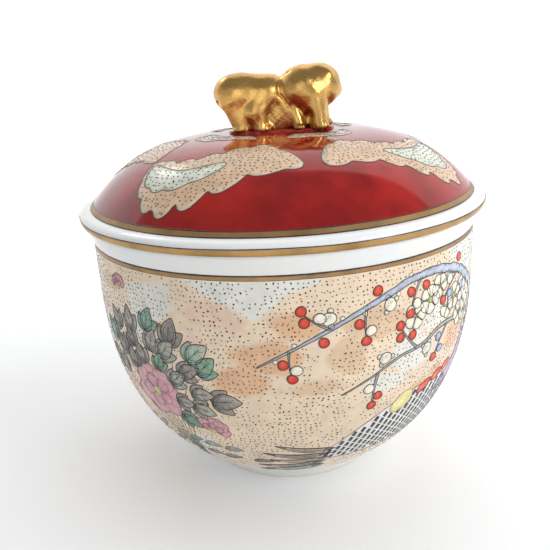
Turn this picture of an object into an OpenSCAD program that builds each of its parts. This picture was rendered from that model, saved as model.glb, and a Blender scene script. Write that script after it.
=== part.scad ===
// Covered porcelain rice bowl: a deep footed bowl, a domed overhanging lid with a
// locating collar, and a gilt lion-dog knob on top of the lid.
// Fired-on coloured and gilt layers are their own thin solids.
// Millimetres, +Z up, origin at the centre of the foot ring's resting plane.
// Name endings: _r radius, _z height above the resting plane, _h height, _w width,
// _l length, _t thickness. Profile points are [radius, z].

/* [Bowl] */
// Outer radius of the foot ring
foot_r = 34.5; // [32:0.5:37]
// Width of the foot ring
foot_w = 3.4; // [3:0.1:4.5]
// Height of the foot ring outside
foot_h = 3.6; // [3:0.1:5]
// Depth of the recess inside the foot ring
recess_h = 3; // [2:0.1:3.5]
// Radius of the wall at its top, under the lip
belly_r = 70.9; // [68:0.1:72]
// Height of the wall's top, where the white lip starts
shoulder_z = 93; // [85:0.5:97]
// How quickly the wall turns up from the foot (larger is fuller)
belly_turn = 3.3; // [2.8:0.1:3.8]
// Roundness of the turn at the foot
belly_round = 1.15; // [1.05:0.05:1.3]
// Wall thickness below the lip
wall_t = 3; // [2.6:0.1:4]
// Outer radius of the lip at its top
rim_r = 73; // [72.5:0.1:73.5]
// Height of the bowl's rim above the resting plane
rim_z = 99.9; // [99:0.1:101]
// Thickness of the porcelain floor
floor_t = 4.2; // [3.5:0.1:6]

/* [Lid] */
// Outer radius of the lid's rolled edge
lid_r = 75; // [74.5:0.1:76]
// Radius where the dome meets the rolled edge
dome_r = 70.9; // [70:0.1:71.2]
// Rise of the dome above the rolled edge
dome_h = 22.3; // [18:0.1:26]
// Shape of the dome (2 is a paraboloid, larger is flatter on top)
dome_n = 4; // [3:0.1:4.4]
// Height of the rolled edge above the seat
edge_h = 4.5; // [4:0.1:5.5]
// Thickness of the dome
dome_t = 3.4; // [3:0.1:4.5]
// Depth of the locating collar under the lid
collar_d = 5.5; // [4:0.5:8]
// Thickness of the locating collar
collar_t = 2.6; // [2.2:0.1:3.2]
// Radial play of the collar inside the rim
collar_play = 1.4; // [1:0.1:2]
// Gap at the seat, under the unglazed ring
seat_gap = 0.05; // [0.03:0.01:0.1]

/* [Knob] */
// Length of the knob's base
base_l = 39; // [37:1:42]
// Width of the knob's base
base_w = 19; // [18:1:22]
// Height of the lion-dog above the lid
lion_h = 23.4; // [21:0.1:25]

/* [Fired layers] */
// Thickness of the fired enamel and gilding
film_t = 0.15; // [0.12:0.01:0.25]
// Width of the gilt band at the foot of the dome, as a radius difference
lid_band_w = 1.4; // [1:0.1:2]
// Height of the gilt band under the bowl's lip
bowl_band_w = 1.5; // [1:0.1:2.5]

/* [Hidden] */
$fn = 96;
lathe_fn = 192;

// Bowl
wall_foot_r = foot_r + 0.5;
cavity_z = recess_h + floor_t;
cavity_r = belly_r - wall_t;
cavity_round = 2.8;
ground_z = foot_h + 0.6;
band_z = shoulder_z - bowl_band_w;
mouth_r = cavity_r + 0.9;
mouth_z = shoulder_z + 1.5;
cove_power = 0.8;
// Rounded rim: height of the rounding, its radial extent outside and inside,
// and the inset from rim_r to the inner edge of the flat top
round_h = 1.2;
round_out = 1.1;
round_in = 1.0;
flat_inset = 2.2;

// Lid
seat_z = rim_z + seat_gap;
edge_z = seat_z + edge_h;
edge_mid_z = seat_z + edge_h * 0.52; // height of the rolled edge's widest point
edge_power = 0.9;
edge_tuck = 1.3; // inward turn of the rolled edge down to the seat
top_z = edge_z + dome_h;
band_r = dome_r - lid_band_w;
collar_r = mouth_r - collar_play;
under_r = collar_r - collar_t;
under_drop = 0.9; // extra thickness of the dome where it reaches the collar
collar_tip_z = seat_z - collar_d;

// Knob
knob_z = top_z - 0.6; // underside, sunk a little into the crown
footprint_gap = 0.1;
footprint_h = 12;

// Even steps from one value to another; a bias above 1 crowds them towards the start
function steps(from, to, count, bias = 1) =
    [for (i = [0:count]) from + (to - from) * pow(i / count, bias)];
function reversed(list) = [for (i = [len(list) - 1:-1:0]) list[i]];
function rest(list) = [for (i = [1:len(list) - 1]) list[i]];
function offsets(corner, list) = [for (step = list) corner + step];
// Part of an oval with the given half axes; a power below 1 makes it squarer
function arc(centre, half, angles, power = 1) =
    [for (a = angles) centre + [half[0] * pow(cos(a), power), half[1] * pow(sin(a), power)]];

// Full turn of a wall: 0 at the low end, 1 at the shoulder
function fullness(z, low_z, roundness) =
    let (part = max(0, min(1, (z - low_z) / (shoulder_z - low_z))))
    pow(1 - pow(1 - part, belly_turn), 1 / roundness);
function wall(heights) = [for (z = heights)
    [wall_foot_r + (belly_r - wall_foot_r) * fullness(z, foot_h, belly_round), z]];
function cavity(heights) = [for (z = heights)
    [cavity_r * fullness(z, cavity_z, cavity_round), z]];
function dome_z(r) = edge_z + dome_h * (1 - pow(r / dome_r, dome_n));
function dome(radii) = [for (r = radii) [r, dome_z(r)]];
function dome_under(radii) =
    [for (r = radii) [r, dome_z(r) - dome_t - under_drop * pow(r / under_r, 2)]];

// Shared curves, so a layer lies exactly on the porcelain under it
wall_low = wall([foot_h, ground_z]);
wall_main = wall(steps(ground_z, band_z, count = 40, bias = 1.7));
wall_band = wall(steps(band_z, shoulder_z, count = 2));
dome_main = dome(steps(0, band_r, count = 30, bias = 0.85));
dome_band = dome(steps(band_r, dome_r, count = 3));
edge_top = arc([dome_r, edge_mid_z], [lid_r - dome_r, edge_z - edge_mid_z],
               reversed(steps(0, 90, count = 16)), edge_power);
edge_low = arc([lid_r - edge_tuck, edge_mid_z], [edge_tuck, seat_z - edge_mid_z],
               steps(0, 90, count = 12));

module lathe(profile) {
    rotate_extrude($fn = lathe_fn) polygon(profile);
}

// Thin layer on the left side of a curve, looking along it
function tangent(curve, i) =
    let (chord = curve[min(i + 1, len(curve) - 1)] - curve[max(i - 1, 0)])
    chord / norm(chord);
function raised(curve) = [for (i = [0:len(curve) - 1])
    let (along = tangent(curve, i)) curve[i] + [-along[1], along[0]] * film_t];
module film(curve) {
    lathe(concat(curve, reversed(raised(curve))));
}

// One fired piece: foot ring, wall, flared lip and cavity
module bowl() {
    foot_in_r = foot_r - foot_w;
    round_z = rim_z - round_h;
    quarter = steps(0, 90, count = 8);
    color([0.93, 0.94, 0.94])
    lathe(concat(
        // recess and foot ring, with chamfered corners
        [[0, recess_h]],
        offsets([foot_in_r, recess_h], [[-0.6, 0], [0, -0.8]]),
        offsets([foot_in_r, 0], [[0, 0.5], [0.4, 0]]),
        offsets([foot_r, 0], [[-0.5, 0], [0, 0.6]]),
        wall_low,
        rest(wall_main),
        rest(wall_band),
        // lip: a shallow cove under a rounded edge
        [for (part = rest(steps(0, 1, count = 12)))
            [belly_r + (rim_r - belly_r) * pow(part, cove_power),
             shoulder_z + (round_z - shoulder_z) * part]],
        rest(arc([rim_r - round_out, round_z], [round_out, round_h], quarter)),
        arc([rim_r - flat_inset, round_z], [-round_in, round_h], reversed(quarter)),
        [[mouth_r, mouth_z]],
        cavity(reversed(steps(cavity_z, shoulder_z, count = 40, bias = 1.9)))
    ));
}

// Painted ground on the wall between the foot and the gilt band
module bowl_painted_ground() {
    color([0.88, 0.78, 0.67]) film(reversed(wall_main));
}

// Gilt band under the lip
module bowl_gilt_band() {
    color([0.78, 0.6, 0.32]) film(reversed(wall_band));
}

// One fired piece: dome, rolled edge, seat and locating collar
module lid() {
    color([0.92, 0.93, 0.94])
    lathe(concat(
        dome_main,
        rest(dome_band),
        rest(edge_top),
        rest(edge_low),
        // collar: outer root, outer tip, then inner tip
        offsets([collar_r, seat_z], [[1.2, 0], [0.4, -0.1], [0, -0.8]]),
        offsets([collar_r, collar_tip_z], [[-0.3, 0.8], [-0.8, 0]]),
        offsets([under_r, collar_tip_z], [[0.9, 0], [0.2, 0.7]]),
        dome_under(reversed(steps(0, under_r - 0.2, count = 28, bias = 0.85)))
    ));
}

// Knob's footprint on the dome: two round ends joined by straight sides
module footprint() {
    half_w = base_w / 2 + footprint_gap;
    end_x = (base_l - base_w) / 2;
    low_z = top_z - footprint_h / 2;
    for (side = [-1, 1])
        translate([side * end_x, 0, low_z]) cylinder(r = half_w, h = footprint_h);
    translate([-end_x, -half_w, low_z]) cube([2 * end_x, 2 * half_w, footprint_h]);
}

// Red ground over the dome, with the knob's footprint left bare
module lid_red_ground() {
    color([0.6, 0.13, 0.11])
    difference() {
        film(dome_main);
        footprint();
    }
}

// Gilt band between the red ground and the rolled edge
module lid_gilt_band() {
    color([0.74, 0.58, 0.33]) film(dome_band);
}

// Gilt line on the lower turn of the rolled edge, short of both its ends
module lid_edge_gilding() {
    color([0.8, 0.62, 0.3]) film([for (i = [1:len(edge_low) - 2]) edge_low[i]]);
}

// Lion-dog's masses, each the hull of two balls: [centre, radius, centre, radius].
// Centres are measured from the knob's underside, for a nominal height of lion_table_h.
lion_table_h = 22.5;
lion_masses = [
    // base
    [[-10.6, 0, -2.2], 7.4, [11.6, 0, -2.2], 7.4],
    // trunk
    [[-11, 0, 11.2], 7.2, [9, 0.4, 11.6], 7.0],
    // haunches and shoulders
    [[-14.5, -0.4, 11.2], 8.1, [-11.5, -2.2, 5], 6.2],
    [[12.2, 0.8, 12.5], 9.5, [10.5, -1.6, 5], 6.8],
    // head, turned towards +Y
    [[14.6, 2.6, 14.8], 7.0, [18.2, 3.6, 13.0], 6.0],
    // fore legs
    [[13.0, -4.4, 7], 3.6, [13.6, -4.9, 1.6], 3.0],
    [[6.4, -4.6, 7], 2.8, [6.0, -5.2, 1.4], 2.6],
    // hind legs
    [[-13.4, -4.2, 7], 3.4, [-13.2, -4.7, 1.6], 3.1],
    [[-7.6, -4.4, 7], 2.8, [-7.4, -5.0, 1.6], 2.6],
    // tail curled close on the rump
    [[-20.6, -0.8, 13.2], 2.6, [-19.4, -0.8, 10.6], 2.4],
];

// Lion-dog lying along X, head at +X, tail at -X
module finial() {
    color([0.72, 0.53, 0.24])
    intersection() {
        translate([0, 0, knob_z]) scale([1, 1, lion_h / lion_table_h])
            for (mass = lion_masses)
                hull()
                    for (i = [0, 2])
                        translate(mass[i]) sphere(r = mass[i + 1], $fn = 28);
        // keeps only what is above the knob's underside
        translate([-40, -20, knob_z]) cube([80, 40, 40]);
    }
}

bowl();
bowl_painted_ground();
bowl_gilt_band();
lid();
lid_red_ground();
lid_gilt_band();
lid_edge_gilding();
finial();
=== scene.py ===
"""A lidded porcelain bowl with enamel painting and a gilt lion-dog for a knob.

The foot stands on z = 0 with +Z up, and the front faces -Y. The pieces are worked out in
millimetres. The wall is painted in (degrees round from the front towards +X, height), laid flat
as a sheet of (distance round, arc length up the wall). The lid is painted in (x, y) from above.
"""
import bpy
import bmesh
import math
import numpy as np
from mathutils import Matrix, Vector
from mathutils.geometry import delaunay_2d_cdt


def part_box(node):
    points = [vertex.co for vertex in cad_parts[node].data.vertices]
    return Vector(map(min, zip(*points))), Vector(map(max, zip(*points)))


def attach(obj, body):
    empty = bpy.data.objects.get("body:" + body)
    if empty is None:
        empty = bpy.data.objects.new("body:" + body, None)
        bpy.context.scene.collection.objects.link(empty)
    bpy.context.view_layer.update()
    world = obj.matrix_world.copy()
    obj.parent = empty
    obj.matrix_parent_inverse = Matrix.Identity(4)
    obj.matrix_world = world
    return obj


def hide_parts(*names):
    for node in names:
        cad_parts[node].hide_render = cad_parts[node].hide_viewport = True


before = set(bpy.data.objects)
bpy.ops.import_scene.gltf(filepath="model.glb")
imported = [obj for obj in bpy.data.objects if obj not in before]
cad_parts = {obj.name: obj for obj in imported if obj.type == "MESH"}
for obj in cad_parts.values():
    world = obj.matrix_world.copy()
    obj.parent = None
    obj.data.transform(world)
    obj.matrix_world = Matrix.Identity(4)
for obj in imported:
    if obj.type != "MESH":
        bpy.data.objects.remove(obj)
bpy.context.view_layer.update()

# ---------------------------------------------------------------- driving sizes, millimetres
MM = 0.001
WALL_FOOT_R = 35.0
FOOT_H = 3.6
BELLY_R = 70.9
SHOULDER_Z = 93.0
WALL_TURN, WALL_ROUND = 3.3, 1.15       # exponents that shape the wall's swell
RIM_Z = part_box("bowl")[1][2] * 1000
LID_GAP = 0.05
LIP_H = 4.5
LIP_R = 75.0
EDGE_Z = RIM_Z + LID_GAP + LIP_H        # where the dome starts
LIP_MID_Z = RIM_Z + LID_GAP + LIP_H * 0.52
DOME_R = BELLY_R
DOME_H = 22.3
DOME_POWER = 4.0
TOP_Z = EDGE_Z + DOME_H
FILM = 0.15                             # thickness of the painted films
FILM_SINK = 0.02                        # how far a film reaches into the porcelain
BAND_R = DOME_R - 1.4                   # inner edge of the lid's gilt band
BAND_Z = SHOULDER_Z - 1.5               # lower edge of the bowl's gilt band
GROUND_Z = FOOT_H + 0.6                 # lower edge of the painted ground
FILL_SINK, LINE_SINK = -0.05, -0.04     # undersides of pads and of drawn lines
ROUGH_TURN = 6.28                       # range of the random starting angles


# ---------------------------------------------------------------- small mathematics
def srgb(red, green, blue):
    c = np.array([red, green, blue], float) / 255
    return np.where(c <= 0.04045, c / 12.92, ((c + 0.055) / 1.055) ** 2.4)


def smooth(low, high, x):
    share = np.clip((np.asarray(x, float) - low) / (high - low), 0, 1)
    return share * share * (3 - 2 * share)


def pairs(x, y):
    return np.stack([x, y], 1)


def unit(vectors):
    return vectors / np.maximum(np.linalg.norm(vectors, axis=-1, keepdims=True), 1e-9)


def wrap(degrees):
    return (degrees + 180) % 360 - 180


def around(radius, angle, z):
    """Points at an angle from the front (-Y) towards +X."""
    x, y = radius * np.sin(angle), -radius * np.cos(angle)
    return np.stack(np.broadcast_arrays(x, y, z), -1)


LATTICE = np.random.default_rng(77).random((256, 256))


def noise(u, v, seed=0, period=None):
    """Smooth value noise, periodic in u when a period is given."""
    u, v = np.asarray(u, float), np.asarray(v, float)
    u0, v0 = np.floor(u).astype(int), np.floor(v).astype(int)
    fu, fv = u - u0, v - v0
    fu = fu * fu * (3 - 2 * fu)
    fv = fv * fv * (3 - 2 * fv)

    def corner(a, b):
        if period:
            a = np.mod(a, period)
        return LATTICE[np.mod(a + seed * 17, 256), np.mod(b + seed * 31, 256)]
    return ((corner(u0, v0) * (1 - fu) + corner(u0 + 1, v0) * fu) * (1 - fv)
            + (corner(u0, v0 + 1) * (1 - fu) + corner(u0 + 1, v0 + 1) * fu) * fv)


def layered(u, v, seed=0, octaves=4, period=None):
    """Noise summed over octaves, each finer and half as strong."""
    total, weight, weights = 0.0, 0.5, 0.0
    for k in range(octaves):
        scale = 2 ** k
        repeat = period * scale if period else None
        total = total + weight * noise(np.asarray(u) * scale, np.asarray(v) * scale,
                                       seed + 5 * k, repeat)
        weights += weight
        weight *= 0.5
    return total / weights


# ---------------------------------------------------------------- the wall and the dome
def wall_r(z):
    share = np.clip((np.asarray(z, float) - FOOT_H) / (SHOULDER_Z - FOOT_H), 0, 1)
    swell = (1 - (1 - share) ** WALL_TURN) ** (1 / WALL_ROUND)
    return WALL_FOOT_R + (BELLY_R - WALL_FOOT_R) * swell


def wall_normal(z):
    half = 0.05
    widening = float(wall_r(z + half) - wall_r(z - half))
    length = math.hypot(widening, 2 * half)
    return 2 * half / length, -widening / length


def dome_z(radius):
    return EDGE_Z + DOME_H * (1 - (np.minimum(radius, DOME_R) / DOME_R) ** DOME_POWER)


def dome_normal(radius):
    slope = (-DOME_H * DOME_POWER * np.minimum(radius, DOME_R) ** (DOME_POWER - 1)
             / DOME_R ** DOME_POWER)
    length = np.hypot(1, slope)
    return -slope / length, 1 / length


WALL_Z = np.linspace(FOOT_H, SHOULDER_Z, 1800)
WALL_R = wall_r(WALL_Z)
WALL_ARC = np.concatenate([[0], np.cumsum(np.hypot(np.diff(WALL_Z), np.diff(WALL_R)))])
SHEET_R = 70.0                          # radius at which sheet lengths are real ones
PER_DEGREE = math.radians(1) * SHEET_R


def arc_of(z):
    return np.interp(z, WALL_Z, WALL_ARC)


def z_of(arc):
    return np.interp(arc, WALL_ARC, WALL_Z)


def r_of(arc):
    return np.interp(arc, WALL_ARC, WALL_R)


def stretch(sheet):
    """How much longer a sheet millimetre is than a real one, round the pot."""
    return SHEET_R / r_of(sheet[..., 1])


def wall_space(sheet, over=0.0):
    """Points at a height over the wall's film, and the normals there."""
    angle = np.radians(sheet[:, 0] / PER_DEGREE)
    arc = sheet[:, 1]
    half = 0.4
    step_r = r_of(arc + half) - r_of(arc - half)
    step_z = z_of(arc + half) - z_of(arc - half)
    length = np.hypot(step_r, step_z)
    normal_r, normal_z = step_z / length, -step_r / length
    out = FILM + over
    points = around(r_of(arc) + out * normal_r, angle, z_of(arc) + out * normal_z)
    return points, around(normal_r, angle, normal_z)


def dome_space(sheet, over=0.0):
    """Points at a height over the dome's film, and the normals there."""
    radius = np.hypot(sheet[:, 0], sheet[:, 1])
    normal_r, normal_z = dome_normal(radius)
    normals = np.column_stack([unit(sheet) * normal_r[:, None], normal_z])
    ground = np.column_stack([sheet, dome_z(radius)])
    return ground + normals * np.reshape(FILM + over, (-1, 1)), normals


# ---------------------------------------------------------------- meshes
def add_object(name, data):
    made = bpy.data.objects.new(name, data)
    bpy.context.scene.collection.objects.link(made)
    return made


def mesh_object(name, verts, faces, colours, material, turn_out=False):
    """A smooth mesh from millimetre points, with the painter's colours as attribute Col."""
    mesh = bpy.data.meshes.new(name)
    mesh.from_pydata((verts * MM).tolist(), [], faces)
    mesh.validate()
    if turn_out:
        edit = bmesh.new()
        edit.from_mesh(mesh)
        bmesh.ops.recalc_face_normals(edit, faces=edit.faces)
        edit.to_mesh(mesh)
        edit.free()
    mesh.polygons.foreach_set("use_smooth", np.ones(len(mesh.polygons), bool))
    attribute = mesh.color_attributes.new("Col", "FLOAT_COLOR", "POINT")
    rgba = np.concatenate([colours, np.ones((len(colours), 1))], 1)
    attribute.data.foreach_set("color", rgba.astype(np.float32).ravel())
    mesh.update()
    made = add_object(name, mesh)
    mesh.materials.append(material)
    return made


def tube_faces(rows, segments):
    """Quads of a closed tube: rows of points joined round both ways."""
    index = np.arange(rows * segments).reshape(rows, segments)
    below = np.roll(index, -1, 0)
    quads = [index, np.roll(index, -1, 1), np.roll(below, -1, 1), below]
    return np.stack(quads, -1).reshape(-1, 4).tolist()


class Piece:
    """One object gathered from many brush marks."""
    def __init__(self, name, body, slot, material):
        self.name, self.body, self.slot, self.material = name, body, slot, material
        self.space = wall_space if body == "bowl" else dome_space
        self.verts, self.faces, self.colours = [], [], []
        self.count = 0

    def add(self, verts, faces, colours):
        colours = np.asarray(colours, float)
        if colours.ndim == 1:
            colours = np.tile(colours, (len(verts), 1))
        self.verts.append(verts)
        self.colours.append(colours)
        self.faces.extend([tuple(i + self.count for i in face) for face in faces])
        self.count += len(verts)

    def build(self):
        made = mesh_object(self.name, np.concatenate(self.verts), self.faces,
                           np.concatenate(self.colours), self.material, turn_out=True)
        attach(made, self.body)


PIECES = {}


# ---------------------------------------------------------------- curves and polygons
def even(path, step, closed=False):
    """The path stepped evenly."""
    path = np.asarray(path, float)
    if closed:
        path = np.concatenate([path, path[:1]])
    reach = np.concatenate([[0], np.cumsum(np.linalg.norm(np.diff(path, axis=0), axis=1))])
    count = max(2, int(round(reach[-1] / step)))
    stops = np.linspace(0, reach[-1], count + 1)
    out = pairs(np.interp(stops, reach, path[:, 0]), np.interp(stops, reach, path[:, 1]))
    return out[:-1] if closed else out


def catmull(p0, p1, p2, p3, t):
    return 0.5 * ((2 * p1) + (-p0 + p2) * t + (2 * p0 - 5 * p1 + 4 * p2 - p3) * t ** 2
                  + (-p0 + 3 * p1 - 3 * p2 + p3) * t ** 3)


def closed_spline(points, per=5):
    count = len(points)
    return np.array([catmull(points[i - 1], points[i], points[(i + 1) % count],
                             points[(i + 2) % count], k / per)
                     for i in range(count) for k in range(per)])


def spline(points, step):
    """A smooth open curve through the points, evenly stepped."""
    points = np.asarray(points, float)
    ends = [2 * points[0] - points[1]], [2 * points[-1] - points[-2]]
    knots = np.concatenate([ends[0], points, ends[1]])
    out = []
    for i in range(1, len(knots) - 2):
        four = knots[i - 1:i + 3]
        count = max(2, int(np.linalg.norm(four[2] - four[1]) / (step * 0.5)))
        out += [catmull(*four, k / count) for k in range(count)]
    out.append(points[-1])
    return even(out, step)


def inside(points, poly):
    x, y = points[:, 0][:, None], points[:, 1][:, None]
    x0, y0 = poly[:, 0][None], poly[:, 1][None]
    x1, y1 = np.roll(poly[:, 0], -1)[None], np.roll(poly[:, 1], -1)[None]
    rise = np.where(y1 == y0, 1e-12, y1 - y0)
    crossed = ((y0 > y) != (y1 > y)) & (x < (x1 - x0) * (y - y0) / rise + x0)
    return np.mod(crossed.sum(1), 2) == 1


def edge_distance(points, poly, slab=4000):
    side = (np.roll(poly, -1, axis=0) - poly)[None]
    start = poly[None]
    best = np.full(len(points), 1e9)
    for i in range(0, len(points), slab):
        part = points[i:i + slab][:, None]
        share = ((part - start) * side).sum(2) / np.maximum((side ** 2).sum(2), 1e-12)
        near = start + side * np.clip(share, 0, 1)[..., None]
        best[i:i + slab] = np.linalg.norm(part - near, axis=2).min(1)
    return best


# ---------------------------------------------------------------- brush marks
def fill(name, poly, colour, over=0.05, step=2.0, crown=0.0):
    """A closed pad of enamel over a sheet polygon, its top raised by crown away from the edge.
    colour is fixed, or a function of (points, distance to the edge)."""
    low, high = poly.min(0), poly.max(0)
    grid_x = np.arange(low[0] + step / 2, high[0], step)
    grid_y = np.arange(low[1] + step / 2, high[1], step)
    x, y = np.meshgrid(grid_x, grid_y)
    x = x + (np.arange(len(grid_y)) % 2)[:, None] * step / 2
    grid = pairs(x.ravel(), y.ravel())
    grid = grid[inside(grid, poly)]
    grid = grid[edge_distance(grid, poly) > step * 0.35]
    points = [Vector(p) for p in np.concatenate([poly, grid])]
    result = delaunay_2d_cdt(points, [], [list(range(len(poly)))], 1, 1e-6)
    flat = np.array([tuple(p) for p in result[0]])
    faces = [tuple(face) for face in result[2]]
    # an edge used one way only lies on the rim
    edges = dict.fromkeys(e for face in faces for e in zip(face, face[1:] + face[:1]))
    rim = [edge for edge in edges if edge[::-1] not in edges]
    depth = edge_distance(flat, poly)
    space = PIECES[name].space
    top, _ = space(flat, over + crown * (1 - np.exp(-depth / 0.8)))
    bottom, _ = space(flat, FILL_SINK)
    if callable(colour):
        colour = np.tile(colour(flat, depth), (2, 1))
    count = len(flat)
    lower = [tuple(i + count for i in face[::-1]) for face in faces]
    walls = [(b, a, a + count, b + count) for a, b in rim]
    PIECES[name].add(np.concatenate([top, bottom]), faces + lower + walls, colour)


def line(name, path, width, colour, over=0.06, closed=False, step=0.7, taper=(0, 0), rise=0.05):
    """A drawn line: a closed bead of five rows that follows the surface."""
    path = even(path, step, closed)
    points, normals = PIECES[name].space(path)
    if closed:
        along_line = np.roll(points, -1, axis=0) - np.roll(points, 1, axis=0)
    else:
        along_line = np.gradient(points, axis=0)
    across = unit(np.cross(normals, unit(along_line)))
    count = len(path)
    widths = np.full(count, 1.0) * width
    share = np.linspace(0, 1, count)
    if taper[0]:
        widths = widths * np.clip(0.25 + share / taper[0], 0, 1)
    if taper[1]:
        widths = widths * np.clip(0.15 + (1 - share) / taper[1], 0, 1)
    widths = widths * (0.86 + 0.28 * noise(path[:, 0] * 0.9 + 40, path[:, 1] * 0.9, 3))
    bead = np.minimum(rise, widths * 0.3)
    rows = ((0.5, LINE_SINK), (0.36, over + bead * 0.3), (0, over + bead),
            (-0.36, over + bead * 0.3), (-0.5, LINE_SINK))      # share of width, height
    verts = [points + across * (widths * place)[:, None] + normals * np.reshape(height, (-1, 1))
             for place, height in rows]
    faces = []
    for i in range(count if closed else count - 1):
        j = (i + 1) % count
        for k in range(4):
            row, below = k * count, (k + 1) * count
            faces.append((below + i, below + j, row + j, row + i))
        faces.append((i, j, 4 * count + j, 4 * count + i))
    if not closed:
        faces.append(tuple(k * count for k in range(5)))
        faces.append(tuple(k * count + count - 1 for k in range(4, -1, -1)))
    PIECES[name].add(np.concatenate(verts), faces, colour)


def dots(name, centres, radius, colour, over, rise, rng, sides=7):
    """Small uneven beads of enamel. Centres lie on the sheet; the radius is real."""
    centres = np.atleast_2d(centres)
    count = len(centres)
    radius = np.broadcast_to(radius, (count,)).astype(float)
    points, normals = PIECES[name].space(centres)
    east = unit(np.cross(np.array([0, 0, 1.0]), normals))
    north = np.cross(normals, east)
    spin = rng.random(count) * 2 * math.pi
    oval = (1 + 0.35 * rng.random(count))[:, None]
    angle = np.arange(sides) / sides * 2 * math.pi
    reach = radius[:, None] * (1 + 0.16 * (rng.random((count, sides)) - 0.5) * 2)
    long, short = np.cos(angle)[None] * oval, np.sin(angle)[None] / oval
    cos, sin = np.cos(spin)[:, None], np.sin(spin)[:, None]
    x = (long * cos - short * sin) * reach
    y = (long * sin + short * cos) * reach
    spread = x[..., None] * east[:, None] + y[..., None] * north[:, None]
    middle, up = points[:, None], normals[:, None]
    verts = np.concatenate([middle + spread + up * LINE_SINK,
                            middle + 0.72 * spread + up * (over + rise * 0.55),
                            middle + up * (over + rise),
                            middle + up * LINE_SINK], 1).reshape(-1, 3)
    one = []
    for i in range(sides):
        j = (i + 1) % sides
        one += [(i, j, sides + j, sides + i), (sides + i, sides + j, 2 * sides),
                (j, i, 2 * sides + 1)]
    per = 2 * sides + 2
    faces = [tuple(i + k * per for i in face) for k in range(count) for face in one]
    colour = np.asarray(colour, float)
    PIECES[name].add(verts, faces, colour if colour.ndim == 1 else np.repeat(colour, per, axis=0))


def ring_line(name, radius, z, normal, width, colour, seed, wobble=0.05, segments=720):
    """A brushed liner round the pot: a closed bead of changing width."""
    turn = np.arange(segments) / segments
    fine = (noise(turn * 90, np.full(segments, 1.5), seed, 90) - 0.5) * 2
    broad = (noise(turn * 30, np.full(segments, 4.5), seed + 3, 30) - 0.5) * 2
    widths = width * (1 + 0.45 * fine * 0.7 + 0.25 * broad)
    crest = 0.035 + 0.02 * (fine + 1)
    normal_r, normal_z = normal
    rows = []
    for share, height in ((-0.5, LINE_SINK), (-0.42, 0.02), (0, crest), (0.42, 0.02),
                          (0.5, LINE_SINK)):
        shift = wobble * broad + share * widths
        rows.append(around(radius - normal_z * shift + normal_r * height, turn * 2 * math.pi,
                           z + normal_r * shift + normal_z * height))
    PIECES[name].add(np.concatenate(rows), tube_faces(5, segments), colour)


# ---------------------------------------------------------------- materials
class Nodes:
    """The shader nodes of one material or world, with short ways to add and join them."""
    def __init__(self, owner):
        owner.use_nodes = True
        self.tree = owner.node_tree
        self.tree.nodes.clear()

    def feed(self, node, inputs):
        """Link or set inputs; a colour of three numbers gets alpha 1."""
        for key, value in inputs.items():
            socket = node.inputs[key]
            if hasattr(value, "is_output"):
                self.tree.links.new(value, socket)
            elif isinstance(value, (int, float)):
                socket.default_value = value
            else:
                missing = len(socket.default_value) - len(value)
                socket.default_value = tuple(value) + (1,) * missing

    def add(self, kind, inputs=None, **settings):
        node = self.tree.nodes.new("ShaderNode" + kind)
        for key, value in settings.items():
            setattr(node, key, value)
        self.feed(node, inputs or {})
        return node

    def noise(self, coord, scale, detail=3.0, rough=0.5):
        return self.add("TexNoise", {"Vector": coord, "Scale": scale, "Detail": detail,
                                     "Roughness": rough, "Distortion": 0.0}).outputs["Fac"]

    def ramp(self, value, *stops):
        """Stops are (position, grey or colour)."""
        node = self.add("ValToRGB", {0: value})
        elements = node.color_ramp.elements
        while len(elements) > 1:
            elements.remove(elements[-1])
        for k, (position, colour) in enumerate(stops):
            stop = elements.new(position) if k else elements[0]
            stop.position = position
            stop.color = (*(colour * np.ones(3)), 1)
        return node.outputs[0]

    def remap(self, value, low, high, to_low=0.0, to_high=1.0, **settings):
        return self.add("MapRange", {0: value, 1: low, 2: high, 3: to_low, 4: to_high},
                        **settings).outputs[0]

    def math(self, operation, a, b):
        return self.add("Math", {0: a, 1: b}, operation=operation).outputs[0]

    def mix(self, blend, share, a, b):
        return self.add("Mix", {0: share, 6: a, 7: b}, data_type="RGBA", blend_type=blend,
                        clamp_factor=True).outputs[2]

    def bump(self, height, strength, distance):
        return self.add("Bump", {"Height": height, "Strength": strength,
                                 "Distance": distance}).outputs[0]


def start_material(name):
    """A new material, its nodes, its surface shader and object coordinates."""
    material = bpy.data.materials.new(name)
    nodes = Nodes(material)
    surface = nodes.add("BsdfPrincipled")
    nodes.add("OutputMaterial", {0: surface.outputs[0]})
    return material, nodes, surface, nodes.add("TexCoord").outputs["Object"]


def porcelain(name):
    """Clear-glazed white porcelain with dark specks, dry and cream where the foot rests."""
    material, nodes, surface, coord = start_material(name)
    big = nodes.noise(coord, 22)
    fine = nodes.noise(coord, 900, detail=2)
    speck = nodes.noise(coord, 420, detail=2, rough=0.6)
    glaze = nodes.ramp(big, (0.3, srgb(226, 230, 233)), (0.7, srgb(232, 229, 221)))
    specks = nodes.math("MULTIPLY", nodes.ramp(speck, (0.755, 0), (0.80, 1)), 0.4)
    colour = nodes.mix("MIX", specks, glaze, srgb(150, 138, 120))
    height = nodes.add("SeparateXYZ", {0: coord}).outputs[2]
    dry = nodes.remap(height, 0.0009, 0.0003)
    colour = nodes.mix("MIX", dry, colour, srgb(214, 204, 186))
    sheen = nodes.remap(big, 0.0, 1.0, to_low=0.07, to_high=0.16)
    relief = nodes.math("ADD", fine, nodes.math("MULTIPLY", big, 6.0))
    nodes.feed(surface, {
        "Base Color": colour,
        "Roughness": nodes.math("ADD", sheen, nodes.math("MULTIPLY", dry, 0.6)),
        "IOR": 1.52,
        "Subsurface Weight": 0.12,
        "Subsurface Radius": (0.004, 0.0035, 0.003),
        "Subsurface Scale": 0.6,
        "Normal": nodes.bump(relief, strength=0.05, distance=0.0004)})
    return material


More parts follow.
